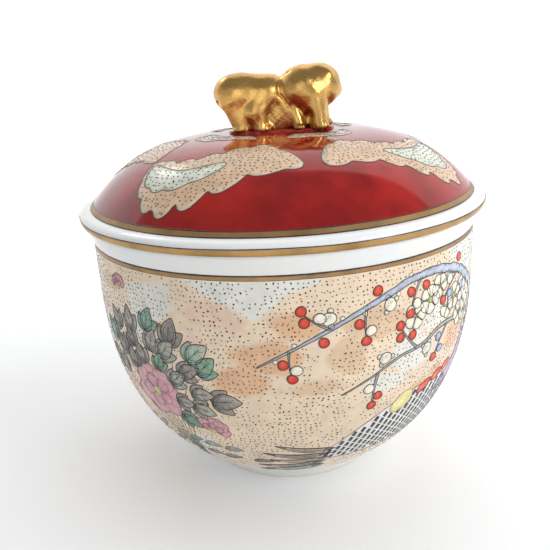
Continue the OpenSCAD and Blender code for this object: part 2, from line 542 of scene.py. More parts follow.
def enamel(name, rough, mottle, scale, bump, specular=0.5):
    """Overglaze enamel in the colours of Col, with brushed density and fine grain."""
    material, nodes, surface, coord = start_material(name)
    painted = nodes.add("Attribute", attribute_name="Col").outputs["Color"]
    brushed = nodes.noise(coord, scale, detail=4, rough=0.6)
    grain = nodes.noise(coord, scale * 5, detail=2)
    density = nodes.remap(brushed, 0.3, 0.7, 1 - mottle, 1 + mottle * 0.5)
    grey = nodes.add("CombineColor", dict.fromkeys(range(3), density)).outputs[0]
    nodes.feed(surface, {
        "Base Color": nodes.mix("MULTIPLY", 1.0, painted, grey),
        "Roughness": nodes.remap(brushed, 0.25, 0.75, *rough),
        "IOR": 1.5,
        "Specular IOR Level": specular,
        "Normal": nodes.bump(nodes.math("ADD", grain, brushed), bump, distance=0.0001)})
    return material


def gilding(name, base, rough, wear, metal, under, scale, bump=0.15, painted=False):
    """Fired gold, rubbed in patches that show the brown under it; painted tints it by Col."""
    material, nodes, surface, coord = start_material(name)
    patches = nodes.noise(coord, scale, detail=5, rough=0.62)
    broad = nodes.noise(coord, scale * 0.22)
    pits = nodes.noise(coord, scale * 6, detail=2)
    tone = nodes.ramp(broad, (0.3, base * 0.72), (0.52, base), (0.75, np.minimum(1, base * 1.22)))
    worn = nodes.math("MULTIPLY", nodes.ramp(patches, (0.58, 0), (0.72, 1)), wear)
    colour = nodes.mix("MIX", worn, tone, under)
    if painted:
        tint = nodes.add("Attribute", attribute_name="Col").outputs["Color"]
        colour = nodes.mix("MULTIPLY", 1.0, colour, tint)
    relief = nodes.math("ADD", pits, nodes.math("MULTIPLY", patches, 2.0))
    nodes.feed(surface, {
        "Base Color": colour,
        "Metallic": nodes.math("SUBTRACT", metal, nodes.math("MULTIPLY", worn, 0.5)),
        "Roughness": nodes.remap(patches, 0.25, 0.75, *rough),
        "Normal": nodes.bump(relief, bump, distance=0.00015)})
    return material


BOWL_GLAZE = porcelain("porcelain_bowl")
LID_GLAZE = porcelain("porcelain_lid")
GROUND_ENAMEL = enamel("enamel_painted_ground", rough=(0.14, 0.26), mottle=0.10, scale=190,
                       bump=0.06)
RED_ENAMEL = enamel("enamel_red_ground", rough=(0.06, 0.13), mottle=0.16, scale=120, bump=0.05,
                    specular=0.55)
PAINT = enamel("enamel_colours", rough=(0.14, 0.3), mottle=0.16, scale=420, bump=0.12)
DARK_LINE = enamel("enamel_dark_line", rough=(0.2, 0.42), mottle=0.4, scale=700, bump=0.2)
BAND_GILT = gilding("gilding_bands", base=srgb(172, 136, 90), rough=(0.36, 0.52), wear=0.4,
                    metal=0.72, under=srgb(140, 96, 60), scale=420)
EDGE_GILT = gilding("gilding_edge", base=srgb(186, 146, 90), rough=(0.3, 0.46), wear=0.35,
                    metal=0.85, under=srgb(150, 96, 52), scale=420)
KNOB_GILT = gilding("gilding_knob", base=srgb(225, 177, 104), rough=(0.18, 0.34), wear=0.16,
                    metal=0.98, under=srgb(150, 108, 66), scale=260, bump=0.25, painted=True)


# ---------------------------------------------------------------- the CAD porcelain
def add_edge_split(target, degrees):
    target.modifiers.new("edges", "EDGE_SPLIT").split_angle = math.radians(degrees)


def dress(node, material):
    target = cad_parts[node]
    for slot in target.material_slots:
        slot.material = material
    target.modifiers.new("weld", "WELD").merge_threshold = 2e-6
    add_edge_split(target, 38)


dress("bowl", BOWL_GLAZE)
dress("lid", LID_GLAZE)

# ---------------------------------------------------------------- palette
CREAM = srgb(226, 206, 180)
ORANGE = srgb(214, 166, 124)
CHALK = srgb(222, 221, 214)
TAN = srgb(206, 170, 132)
PINKISH = srgb(222, 190, 168)
INK = srgb(52, 44, 42)
INK_BROWN = srgb(84, 62, 50)
INK_GREY = srgb(96, 92, 92)
LEAF_GREY = srgb(134, 128, 120)
LEAF_DARK = srgb(92, 86, 80)
LEAF_GREEN = srgb(128, 164, 142)
LEAF_PALE = srgb(176, 184, 168)
PINK = srgb(206, 158, 162)
ROSE = srgb(196, 116, 168)
BUD_RED = srgb(200, 44, 30)
BUD_BLUE = srgb(158, 176, 216)
PETAL = srgb(234, 228, 210)
BARK = srgb(184, 193, 211)
BARK_GREY = srgb(176, 182, 180)
TEAL = srgb(70, 138, 128)
YELLOW = srgb(222, 212, 148)
OLIVE = srgb(190, 196, 120)
CLOUD_TAN = srgb(204, 172, 140)
CLOUD_WHITE = srgb(204, 206, 190)
TONGUE_INK = srgb(74, 58, 48)
RED = srgb(158, 26, 19)
RED_DEEP = srgb(128, 17, 15)
GILT = srgb(186, 146, 96)

LEAVES, FLOWERS = "bowl_peony_leaves", "bowl_peony_flowers"
BRANCHES, BLOSSOMS, BUDS = "bowl_plum_branches", "bowl_plum_blossoms", "bowl_plum_buds"
PLUMAGE, SCALES = "bowl_pheasant_plumage", "bowl_pheasant_scales"
OUTLINES, OUTLINES_BACK = "bowl_outlines", "bowl_outlines_back"
CLOUDS, TONGUES = "lid_clouds", "lid_cloud_tongues"
CLOUD_LINES, CLOUD_DOTS = "lid_cloud_outlines", "lid_cloud_stipple"

for slot_name, paint, names in (
        ("enamel_painted_ground", PAINT, (LEAVES, FLOWERS, BRANCHES, BLOSSOMS, BUDS, PLUMAGE)),
        ("enamel_painted_ground", DARK_LINE,
         (SCALES, OUTLINES, OUTLINES_BACK, "bowl_stipple_front", "bowl_stipple_back",
          "bowl_stipple_left", "bowl_stipple_right")),
        ("enamel_red_ground", PAINT, (CLOUDS, TONGUES)),
        ("enamel_red_ground", DARK_LINE, (CLOUD_LINES, CLOUD_DOTS)),
        ("gilding_bowl_band", DARK_LINE, ("bowl_band_liners",)),
        ("gilding_lid_band", DARK_LINE, ("lid_band_liners",)),
        ("gilding_lid_edge", DARK_LINE, ("lid_edge_liner",))):
    for piece_name in names:
        PIECES[piece_name] = Piece(piece_name, piece_name.split("_")[0], slot_name, paint)

# ---------------------------------------------------------------- painting on the wall
BLOCKED = []      # sheet polygons that the wall's stipple keeps clear of


class Side:
    """One painted side of the bowl, turned round from the front. A spot on it is
    (degrees, height)."""
    def __init__(self, turn, seed, ink):
        self.turn = turn
        self.rng = np.random.default_rng(100 + seed)
        self.ink = ink                  # the piece that its dark lines go to

    def sheet(self, spots):
        spots = np.asarray(spots, float)
        return pairs((spots[:, 0] + self.turn) * PER_DEGREE, arc_of(spots[:, 1]))

    def local(self, spot, points, angle=0.0):
        """Real millimetres (x right, y up) about a spot, turned by an angle, on the sheet."""
        centre = self.sheet([spot])[0]
        cos, sin = math.cos(math.radians(angle)), math.sin(math.radians(angle))
        points = np.atleast_2d(np.asarray(points, float))
        x = points[:, 0] * cos - points[:, 1] * sin
        y = points[:, 0] * sin + points[:, 1] * cos
        return pairs(centre[0] + x * stretch(centre), centre[1] + y)

    def line(self, path, width, colour, over, **options):
        line(self.ink, path, width, colour, over, **options)

    def outline(self, path, width, colour, over, step=0.6):
        line(self.ink, path, width, colour, over, closed=True, step=step)

    def stroke(self, spots, width, colour, over, taper=(0.2, 0.4)):
        self.line(spline(self.sheet(spots), 0.6), width, colour, over, taper=taper, step=0.6)


def height(share):
    """Height on the painted ground: 0 at its foot, 1 under the gilt band."""
    return GROUND_Z + share * (BAND_Z - GROUND_Z)


def off(spot, across, up):
    """The spot reached by real millimetres across and up the wall."""
    z = float(z_of(arc_of(spot[1]) + up))
    return spot[0] + math.degrees(across / float(wall_r(z))), z


def off_at(spot, distance, angle):
    turn = math.radians(angle)
    return off(spot, distance * math.cos(turn), distance * math.sin(turn))


def shade(near, far, centre, radius, seed, uneven=0.25):
    """Colour that runs from near at a sheet point to far at the radius."""
    def paint_at(points, _):
        share = (np.linalg.norm(points - centre, axis=1) / radius
                 + (noise(points[:, 0] * 0.8 + 60, points[:, 1] * 0.8, seed) - 0.5) * uneven * 2)
        share = smooth(0, 1, share)[:, None]
        return near * (1 - share) + far * share
    return paint_at


def leaf_shape(length, width, tip, bend, stations=15, frill=0.0, rng=None):
    """Outline, midrib and half widths of a leaf from the origin to its tip along +x."""
    t = np.linspace(0, 1, stations)
    half = width / 2 * np.sin(math.pi * t ** tip) ** 0.85
    middle = bend * length * np.sin(math.pi * t)
    x = length * t
    if frill:
        half = half * (1 + frill * np.sin(t * 26 + rng.random() * 6))
    upper, lower = pairs(x, middle + half), pairs(x, middle - half)
    return np.concatenate([lower, upper[::-1][1:-1]]), pairs(x, middle), half


def leaf(side, spot, length, width, angle, colour, dark, tip=0.75, veins=2, over=0.05, ink=INK,
         pen=0.36, double=False):
    """A leaf centred on its spot, with midrib and veins; double adds an inner outline."""
    rng = side.rng
    last = 14
    poly, rib, half = leaf_shape(length, width, tip, 0.06, last + 1)
    poly = poly - [length / 2, 0]
    rib = rib - [length / 2, 0]
    edge = side.local(spot, poly, angle)
    base = side.local(spot, [[-length / 2, 0]], angle)[0]
    tint = shade(dark, colour, base, length * 0.95 * 1.1, int(rng.integers(50)))
    fill(LEAVES, even(edge, 0.9, True), tint, over, step=1.4, crown=0.04)
    side.outline(edge, pen, ink, over + 0.01)
    side.line(side.local(spot, rib[1:-1], angle), pen * 0.8, ink, over + 0.02, step=0.6,
              taper=(0, 0.5))
    for k in range(veins):
        start = int((0.16 + 0.66 * k / veins) * last)
        stop = min(last, start + 4)
        for hand in (1, -1):
            root = rib[start]
            end = rib[stop] + [0, hand * half[stop] * 0.82]
            bow = hand * -0.12 * width * (1 if k % 2 else -0.6)
            middle = (root + end) / 2 + [length * 0.03, bow]
            side.line(side.local(spot, spline([root, middle, end], 0.5), angle), pen * 0.62,
                      ink, over + 0.02, step=0.6, taper=(0, 0.6))
    if double:
        side.outline(side.local(spot, poly * [0.72, 0.66], angle), pen * 0.6, ink, over + 0.02)
    BLOCKED.append(even(edge, 1.2, True))


def blob(side, spot, radii, angle, colour, name, over, crown, light=None, ink=INK, pen=0.34,
         step=1.0, corners=18, block=True, wobble=0.05):
    """A rounded pad, lighter at its upper left; a pen of 0 leaves out the outline."""
    rng = side.rng
    rx, ry = radii
    turn = np.arange(corners) / corners * 2 * math.pi
    uneven = (1 + wobble * np.sin(2 * turn + rng.random() * 6)
              + wobble * 0.6 * np.sin(3 * turn + rng.random() * 6))
    edge = side.local(spot, pairs(rx * np.cos(turn) * uneven, ry * np.sin(turn) * uneven), angle)
    glint = side.local(spot, [[-rx * 0.25, ry * 0.25]], angle)[0]
    tint = shade(colour if light is None else light, colour, glint, max(rx, ry), 3, uneven=0.1)
    fill(name, edge, tint, over, step=step, crown=crown)
    if pen:
        side.outline(edge, pen, ink, over + 0.01, step=0.5)
    if block:
        BLOCKED.append(edge)


# ---------------------------------------------------------------- peony bush
PEONY_SPOT = (-42.0, height(0.5))
TONES = [(LEAF_GREY * 1.7, LEAF_DARK * 1.5), (LEAF_PALE * 1.05, LEAF_GREY * 1.2),
         (LEAF_GREY * 1.25, LEAF_DARK * 1.15), (LEAF_GREEN * 1.2, LEAF_GREEN * 0.8),
         (LEAF_GREY * 1.9, LEAF_GREY * 1.3), (LEAF_PALE * 1.15, LEAF_GREEN)]
# arcs of leaves: distance from the flower, first and last angle, count, leaf size
LEAF_ARCS = ((27, 5, 165, 9, 10.0), (19.5, -25, 150, 8, 9.0), (13.5, -40, 130, 6, 8.0))


def spray(side, spot, angle, size, colour, dark, over):
    """Peony leaf of three lobes from one stalk, the middle lobe on top."""
    lobes = ((36, 0.78, 0.46), (-36, 0.78, 0.46), (0, 1.0, 0.60))   # turn, length, width
    for k, (turn, length, width) in enumerate(lobes):
        double = k == 2 and side.rng.random() < 0.5
        leaf(side, off_at(spot, size * length / 2, angle + turn), size * length, size * width,
             angle + turn, colour * (0.94 + 0.06 * k), dark, tip=0.8, veins=2 + (k == 2),
             over=over + 0.014 * k, pen=0.38, double=double)


def flower(side, spot, radius, petals=7, spread=360.0, start=0.0):
    """Broad overlapping petals in two rings round a rose heart."""
    rng = side.rng
    centre = side.local(spot, [[0, 0]])[0]
    for ring, (share, count) in enumerate(((1.0, petals), (0.62, petals - 2))):
        for k in range(count):
            angle = start + spread * (k + 0.5 * ring) / count + rng.normal(0, 5)
            length = radius * share * (0.92 + 0.16 * rng.random())
            poly, _, _ = leaf_shape(length, length * 0.86, 1.3, 0.03, frill=0.03, rng=rng)
            edge = even(side.local(spot, poly + [0.4, 0], angle), 1.0, True)
            if ring == 0:
                tint = shade(PINK * np.array([1.0, 0.86, 1.0]), PINK * 1.05, centre, radius,
                             int(rng.integers(40)), uneven=0.3)
            else:
                tint = shade(ROSE, PINK, centre, radius * 0.6, 6, uneven=0.2)
            fill(FLOWERS, edge, tint, 0.045 + 0.03 * ring + 0.01 * rng.random(), step=1.4,
                 crown=0.04)
            side.outline(edge, 0.28, srgb(140, 92, 100), 0.075 + 0.03 * ring, step=0.7)
            BLOCKED.append(edge)
    blob(side, spot, (radius * 0.15, radius * 0.17), 0, OLIVE, FLOWERS, over=0.13, crown=0.05,
         pen=0, block=False)
    for k in range(9):
        turn = k * 2 * math.pi / 9
        point = [[radius * 0.2 * math.cos(turn), radius * 0.22 * math.sin(turn)]]
        dots(FLOWERS, side.local(spot, point), 0.3, YELLOW, over=0.13, rise=0.1, rng=rng)


def peony(side):
    rng = side.rng
    spot = PEONY_SPOT
    root = off(spot, 4, -38)
    # stalks fan out from one root
    for angle in range(20, 161, 20):
        end = off_at(spot, 26, angle)
        middle = ((root[0] * 2 + end[0]) / 3, (root[1] + end[1]) / 2)
        side.stroke([root, middle, end], 0.42, INK_GREY, 0.03, taper=(0, 0.3))
    # leaves stand in three arcs over and beside the open flower, pointing outwards
    for ring, (reach, first, last, count, size) in enumerate(LEAF_ARCS):
        for k in range(count):
            angle = (first + (last - first) * (k + 0.5 * (ring % 2)) / (count - 1)
                     + rng.normal(0, 3))
            distance = reach + rng.normal(0, 0.8)
            colour, dark = TONES[(k * 2 + ring + int(rng.integers(2))) % len(TONES)]
            spray(side, off_at(spot, distance - size * 0.4, angle), angle + rng.normal(0, 10),
                  size * (0.9 + 0.2 * rng.random()), colour, dark, over=0.04 + 0.02 * ring)
    # a half-open flower low on one side and a small one above, then the full flower
    flower(side, off(spot, 19, -13), 6.5, petals=5, spread=170, start=-10)
    flower(side, off(spot, -12, 36), 4.6, petals=5, spread=150, start=30)
    flower(side, spot, 11.5)
    # low foliage in two rows above the foot
    for k in range(12):
        place = off(spot, -16 + 42 * k / 11 + rng.normal(0, 1.0), -19 - 7 * (k % 2) - 5 * k / 11)
        colour, dark = TONES[(k + 3) % len(TONES)]
        leaf(side, place, 7.2, 3.4, 40 - 50 * k / 11 + rng.normal(0, 12), colour, dark,
             pen=0.30, ink=INK_GREY)


# ---------------------------------------------------------------- flowering plum
def sweep(corners, stations, rng, kink):
    """A bough's line: one cubic curve between (degrees, height share) corners, then jittered."""
    t = np.linspace(0, 1, stations)[:, None]
    p0, p1, p2, p3 = [np.array([degrees, height(share)]) for degrees, share in corners]
    path = (1 - t) ** 3 * p0 + 3 * (1 - t) ** 2 * t * p1 + 3 * (1 - t) * t * t * p2 + t ** 3 * p3
    zigzag = (np.arange(stations - 2) % 2 - 0.5)[:, None] * [0, kink * 1.3]
    path[1:-1] += rng.normal(0, kink, (stations - 2, 2)) + zigzag
    path[:, 1] = np.minimum(path[:, 1], height(0.955))
    return path


def branch(side, spots, widths, colour=BARK, hatch=True, over=0.05):
    """A tapering bough with knotty edges; hatch adds short bark marks."""
    rng = side.rng
    path = spline(side.sheet(spots), 0.8)
    count = len(path)
    width = np.interp(np.linspace(0, 1, count), np.linspace(0, 1, len(widths)), widths)
    scale = stretch(path)
    along_path = np.gradient(path, axis=0)
    along_path[:, 0] /= scale
    along_path = unit(along_path)
    across = pairs(-along_path[:, 1] * scale, along_path[:, 0])
    steps = np.arange(count) * 0.4
    knots = [0.16 * (noise(steps + shift, np.full(count, row), rng.integers(60)) - 0.5) * 2
             for shift, row in ((9, 3.0), (31, 7.0))]
    left = path + across * (width / 2 * (1 + knots[0]))[:, None]
    right = path - across * (width / 2 * (1 + knots[1]))[:, None]
    poly = np.concatenate([left, right[::-1]])

    def bark(points, depth):
        mottle = noise(points[:, 0] * 0.55 + 80, points[:, 1] * 0.55, 12)[:, None]
        return colour * (0.82 + 0.3 * mottle) * (0.86 + 0.14 * smooth(0, 1.2, depth)[:, None])
    fill(BRANCHES, poly, bark, over, step=1.3, crown=0.06)
    for edge in (left, right):
        side.line(edge, 0.34, INK, over + 0.01, step=0.6)
    tip = path[-1] + (path[-1] - path[-2]) * 1.5
    side.line([left[-1], tip, right[-1]], 0.3, INK, over + 0.01, step=0.5)
    if hatch:
        for i in range(2, count - 3):
            if width[i] > 1.1 and rng.random() < 0.75:
                start = (left if rng.random() < 0.6 else right)[i]
                end = (start + (path[i] - start) * (0.25 + 0.35 * rng.random())
                       + along_path[i] * 0.3)
                side.line([start, (start + end) / 2 + along_path[i] * 0.12, end], 0.22, INK,
                          over + 0.06, step=0.4)
            if width[i] > 3.0 and rng.random() < 0.3:
                centre = path[i] + across[i] * (rng.random() - 0.5) * width[i] * 0.5
                dots(side.ink, centre + rng.normal(0, 0.5, (4, 2)), 0.2, INK, over=over + 0.05,
                     rise=0.06, rng=rng, sides=6)
    BLOCKED.append(even(poly, 1.5, True))


def small_blossom(side, spot, radius, start):
    """A round young blossom with three round buds tucked against it."""
    turn = np.arange(10) / 10 * 6.2832
    circle = pairs(np.cos(turn), np.sin(turn)) * radius * 0.42
    for angle in (start, start + 78, start + 205):
        cos, sin = math.cos(math.radians(angle)), math.sin(math.radians(angle))
        centre = side.local(spot, [[cos * radius * 1.15, sin * radius * 1.15]])[0]
        ring = centre + circle * [stretch(centre), 1]
        fill(BLOSSOMS, ring, PETAL * 0.9, step=1.0, crown=0.05)
        side.outline(ring, 0.30, INK, 0.06, step=0.5)
        BLOCKED.append(ring)
    blob(side, spot, (radius, radius * 0.95), 0, PETAL, BLOSSOMS, over=0.07, crown=0.06,
         light=PETAL * 1.02, pen=0.36)
    for k in range(5):
        turn = 1.2 + k * 0.55
        root, end = [side.local(spot, [[share * radius * math.cos(turn),
                                        share * radius * math.sin(turn) - radius * 0.15]])[0]
                     for share in (0.25, 0.62)]
        side.line([root, end], 0.16, INK_GREY, 0.12, step=0.4)
        dots(side.ink, end, 0.2, INK_BROWN, over=0.11, rise=0.08, rng=side.rng, sides=6)


def blossom(side, spot, radius, start, centre):
    """Open plum blossom: five broad petals, and an eye with stamens when centre is set."""
    rng = side.rng
    for k in range(5):
        angle = start + 72.0 * k + rng.normal(0, 5)
        poly, _, _ = leaf_shape(radius * 1.05, radius * 1.08, 1.5, 0.02, frill=0.02, rng=rng)
        edge = even(side.local(spot, poly + [radius * 0.08, 0], angle), 0.9, True)
        heart = side.local(spot, [[0, 0]])[0]
        tint = shade(PETAL * np.array([0.94, 0.95, 0.86]), PETAL * 1.02, heart, radius * 1.1,
                     int(rng.integers(30)), uneven=0.15)
        fill(BLOSSOMS, edge, tint, 0.05 + 0.01 * (k % 3), step=1.2, crown=0.06)
        side.outline(edge, 0.34, INK, 0.08)
        BLOCKED.append(edge)
    if centre:
        blob(side, spot, (radius * 0.28, radius * 0.26), 0, OLIVE, BLOSSOMS, over=0.10,
             crown=0.04, pen=0.2, ink=INK_GREY, block=False)
        for k in range(9):
            turn = math.radians(k * 40 + rng.normal(0, 6))
            point = [[radius * 0.5 * math.cos(turn), radius * 0.5 * math.sin(turn)]]
            dots(side.ink, side.local(spot, point)[0], 0.2, srgb(150, 130, 60), over=0.12,
                 rise=0.08, rng=rng, sides=6)


# kinds of bud: colour, radius, lit colour
BUD_KINDS = ((BUD_RED, 1.75, srgb(226, 96, 60)), (BUD_BLUE, 1.6, BUD_BLUE * 1.15),
             (PETAL, 1.9, PETAL * 1.02))


def bud(side, spot, kind=0):
    colour, radius, light = BUD_KINDS[kind]
    blob(side, spot, (radius, radius * 0.94), 0, colour, BUDS, over=0.09, crown=0.13, light=light)


def along(path, share):
    """The spot at a share of a path's points, and the path's real direction there."""
    path = np.array(path)
    place = share * (len(path) - 1)
    i = int(min(place, len(path) - 2))
    spot = path[i] + (path[i + 1] - path[i]) * (place - i)
    direction = (path[i + 1] - path[i]) * [math.radians(1) * float(wall_r(spot[1])), 1]
    return spot, direction / np.linalg.norm(direction)


def beside(path, share, hand, gap):
    """A spot a gap in millimetres to one side of a path."""
    spot, direction = along(path, share)
    return off(spot, -direction[1] * gap * hand, direction[0] * gap * hand)


def shoot(side, path, share, turn, length, width, curl):
    """A thin shoot off a bough that bends as it grows, with buds on alternate sides."""
    spot, direction = along(path, share)
    angle = math.degrees(math.atan2(direction[1], direction[0])) + turn
    spots = [spot]
    for _ in range(5):
        angle += curl / 5
        spots.append(off_at(spots[-1], length / 5, angle))
    if max(spot[1] for spot in spots) > height(0.97):
        return
    branch(side, spots, [width, width * 0.7, width * 0.45, width * 0.28], BARK_GREY, hatch=False)
    for k, t in enumerate((0.45, 0.72, 1.0)):
        place = beside(spots, t, 1 if k % 2 else -1, 1.9 if t < 1 else 0.2)
        if place[1] < height(0.96):
            bud(side, place, (0, 1, 0, 2, 0)[int(side.rng.integers(5))])


def plum(side):
    rng = side.rng
    # the great limb climbs one side, arches under the band and comes down to a fine tip
    main = sweep(((90, 0.10), (72, 1.05), (40, 1.10), (-8, 0.68)), 13, rng, 0.7)
    low = sweep(((74, 0.62), (58, 0.80), (34, 0.68), (14, 0.54)), 9, rng, 0.6)
    for i, t in enumerate(np.linspace(0.42, 0.94, 8)):
        shoot(side, main, t, turn=52 if i % 2 else -46, length=15 - 6 * t + 2 * rng.random(),
              width=1.6 - t, curl=26 if i % 2 else -26)
    for i, t in enumerate(np.linspace(0.25, 0.85, 4)):
        shoot(side, low, t, turn=48 if i % 2 else -48, length=11 + 2 * rng.random(), width=1.1,
              curl=20 if i % 2 else -20)
    branch(side, low, [2.6, 2.0, 1.4, 0.8, 0.4], BARK_GREY)
    branch(side, main, [7.0, 6.4, 5.0, 3.9, 2.9, 2.2, 1.3, 0.4])
    # round lichens and buds sit along the outer half of the limb
    for k, t in enumerate(np.linspace(0.50, 0.97, 12)):
        half = np.interp(t, [0.4, 1], [4.0, 0.6]) / 2
        spot = beside(main, t, 1 if k % 2 else -1, half + (0.5 if k % 3 else 2.1))
        if k % 3:
            blob(side, spot, (0.85, 0.8), 0, PETAL * 0.95, BLOSSOMS, over=0.06, crown=0.05,
                 pen=0.26, ink=INK_GREY)
        elif spot[1] < height(0.96):
            bud(side, spot)
    # open blossoms bunch beside the limb, with single young ones further on
    for k in range(9):
        spot = beside(main, 0.30 + 0.045 * k, 1, 5.5 + 4.5 * (k % 3) * 0.8)
        if spot[1] < height(0.93):
            blossom(side, spot, 3.9 + 0.7 * rng.random(), 72 * rng.random(), k % 3 == 1)
    for t, hand in ((0.74, 1), (0.86, -1)):
        spot = beside(main, t, hand, 3.4)
        if spot[1] < height(0.95):
            small_blossom(side, spot, 2.3, 360 * rng.random())
    for t, hand in ((0.35, -1), (0.6, 1), (0.8, -1)):
        small_blossom(side, beside(low, t, hand, 3.2), 2.2, 360 * rng.random())


# ---------------------------------------------------------------- the bird
BIRD_SPOT = (32.0, height(0.26))
BIRD_TILT = 16.0
BIRD_LENGTH, BIRD_WIDTH = 66.0, 27.0
# breast feathers: place along the body, half length, half width, colour, lit colour
BREAST = ((2, 5.2, 3.6, YELLOW, YELLOW * 1.08), (12, 3.8, 2.1, BUD_RED, srgb(226, 110, 70)),
          (19, 3.3, 1.9, BUD_RED, srgb(226, 116, 96)),
          (25, 2.8, 1.7, BUD_RED * np.array([1.05, 1.5, 1.6]), srgb(226, 130, 120)))


def feather(side, spot, angle, length, width, colour, ink=INK, over=0.09):
    """One long feather from its root at the spot, with two pale streaks."""
    poly, shaft, half = leaf_shape(length, width, 0.8, 0.08, 17)
    edge = side.local(spot, poly, angle)
    fill(PLUMAGE, even(edge, 0.9, True), shade(colour, colour * 1.45, edge[0], length, 3), over,
         step=1.0, crown=0.05)
    side.outline(edge, 0.24, ink, over + 0.01, step=0.7)
    for share in (0.45, -0.45):
        streak = (shaft + pairs(half * 0, half * share))[3:-3]
        side.line(side.local(spot, streak, angle), 0.18, srgb(216, 214, 206), over + 0.07)
    BLOCKED.append(edge)


def bird_scales(side, body):
    """Dark slanting lozenges in staggered rows that follow the back."""
    rng = side.rng
    centres = np.array([(i * 3.2 + (j % 2) * 1.6, j * 2.3)
                        for j in range(-9, 10) for i in range(-14, 15)], float)
    share = centres[:, 0] / BIRD_LENGTH + 0.42
    centres[:, 1] += 4.0 * np.sin(math.pi * np.clip(share, 0, 1))
    lean = math.radians(52)
    long = np.array([math.cos(lean), math.sin(lean)]) * 1.12
    short = np.array([math.cos(lean + 1.25), math.sin(lean + 1.25)]) * 0.72
    for p in centres:
        lozenge = np.array([p - long - short, p + long - short, p + long + short,
                            p - long + short])
        quad = side.local(BIRD_SPOT, lozenge + rng.normal(0, 0.05, (4, 2)), BIRD_TILT)
        centre = quad.mean(0)[None]
        if not inside(centre, body)[0] or edge_distance(centre, body)[0] < 1.3:
            continue
        top, _ = wall_space(quad, 0.085)
        bottom, _ = wall_space(quad, 0.0)
        faces = [(0, 1, 2, 3), (7, 6, 5, 4), (0, 4, 5, 1), (1, 5, 6, 2), (2, 6, 7, 3),
                 (3, 7, 4, 0)]
        PIECES[SCALES].add(np.concatenate([top, bottom]), faces, INK * (0.7 + 0.7 * rng.random()))


def bird_neck(side, base):
    """A tapering curve from the shoulder, with fine strokes along it."""
    t = np.linspace(0, 1, 12)
    x, y = 13 * t + 3 * np.sin(math.pi * t), 20 * t
    half = 5.2 - 2.2 * t
    outline = np.concatenate([pairs(x - half, y), pairs(x + half, y - 1.5)[::-1]])
    neck = even(side.local(base, outline), 1.1, True)
    fill(PLUMAGE, neck, srgb(206, 190, 208), 0.045, step=1.6, crown=0.03)
    side.outline(neck, 0.28, INK_GREY, 0.055, step=0.7)
    BLOCKED.append(neck)
    for k in range(22):
        share = k / 21
        for place in (-0.5, 0, 0.5):
            x0 = np.interp(share, t, x) + place * np.interp(share, t, half) * 1.4
            spots = [off(base, x0 + dx, 20 * share + dy)
                     for dx, dy in ((-0.8, -0.6), (0, 0.6), (1.2, 0.9))]
            side.stroke(spots, 0.22, srgb(150, 120, 160), 0.09)


def bird_head(side, head):
    """Pale head with a red patch, a dark eye and a yellow beak."""
    blob(side, head, (4.0, 3.4), 10, srgb(214, 208, 200), PLUMAGE, over=0.08, crown=0.06,
         light=PETAL, pen=0.3, step=1.4, corners=22)
    blob(side, head, (1.9, 1.6), 0, BUD_RED, PLUMAGE, over=0.13, crown=0.05,
         light=BUD_RED * 1.2, pen=0.2, block=False)
    blob(side, head, (0.55, 0.5), 0, srgb(30, 26, 26), PLUMAGE, over=0.18, crown=0.05, pen=0.16,
         block=False, corners=10)
    beak = side.local(off(head, 3.6, 0.2),
                      [[0, 1.0], [2.0, 0.8], [3.8, -0.3], [2.0, -0.8], [0, -1.0]])
    fill(PLUMAGE, even(beak, 0.6, True), YELLOW * 0.8, 0.08, step=1.0, crown=0.05)
    side.outline(beak, 0.24, INK, 0.09, step=0.5)


def pheasant(side):
    spot, tilt = BIRD_SPOT, math.radians(BIRD_TILT)
    t = np.linspace(0, 1, 36)
    half = BIRD_WIDTH / 2 * np.sin(math.pi * t ** 1.35) ** 0.62
    middle = pairs(BIRD_LENGTH * (t - 0.42), 4.0 * np.sin(math.pi * t))
    rise = pairs(0 * half, half)
    outline = np.concatenate([middle + rise, (middle - rise)[::-1][1:-1]])
    body = even(side.local(spot, outline, BIRD_TILT), 1.2, True)
    fill(PLUMAGE, body, srgb(222, 224, 222), 0.03, step=1.8)
    BLOCKED.append(body)
    side.outline(body, 0.34, INK, 0.04, step=0.8)
    bird_scales(side, body)
    # tail: a fan of dark feathers from the narrow end, and one teal feather under it
    back = -BIRD_LENGTH * 0.40
    tail = off(spot, back * math.cos(tilt), back * math.sin(tilt) + 1)
    for k in range(5):
        colour = (srgb(118, 98, 82), srgb(84, 74, 70))[k % 2]
        feather(side, off(tail, 8 - k, 6.0 - 3.1 * k), 168 + 6 * k, 21 + 3 * (k % 2), 3.1, colour)
    feather(side, off(tail, 5, -8), 190, 24, 4.6, TEAL * 0.85, ink=srgb(40, 90, 84), over=0.06)
    for k, (x, long, short, colour, light) in enumerate(BREAST):
        place = off(spot, x, 4 + BIRD_WIDTH / 2 * 0.86 + x * math.sin(tilt))
        blob(side, place, (long, short), 28 if k else 48, colour, PLUMAGE, over=0.07 + 0.01 * k,
             crown=0.06, light=light, pen=0.26, step=1.3, corners=22,
             ink=srgb(130, 30, 26) if k else srgb(140, 130, 90))
    base = off(spot, 24, 13)
    bird_neck(side, base)
    bird_head(side, off(base, 14, 22))


# ---------------------------------------------------------------- clouds on the lid
# rings of clouds: share of the band's radius, count, first angle, length, depth, sway, lobes
CLOUD_RINGS = ((0.72, 5, -20, 55, 25, 6.5, 7), (0.345, 4, 40, 27, 10.5, 3, 4))


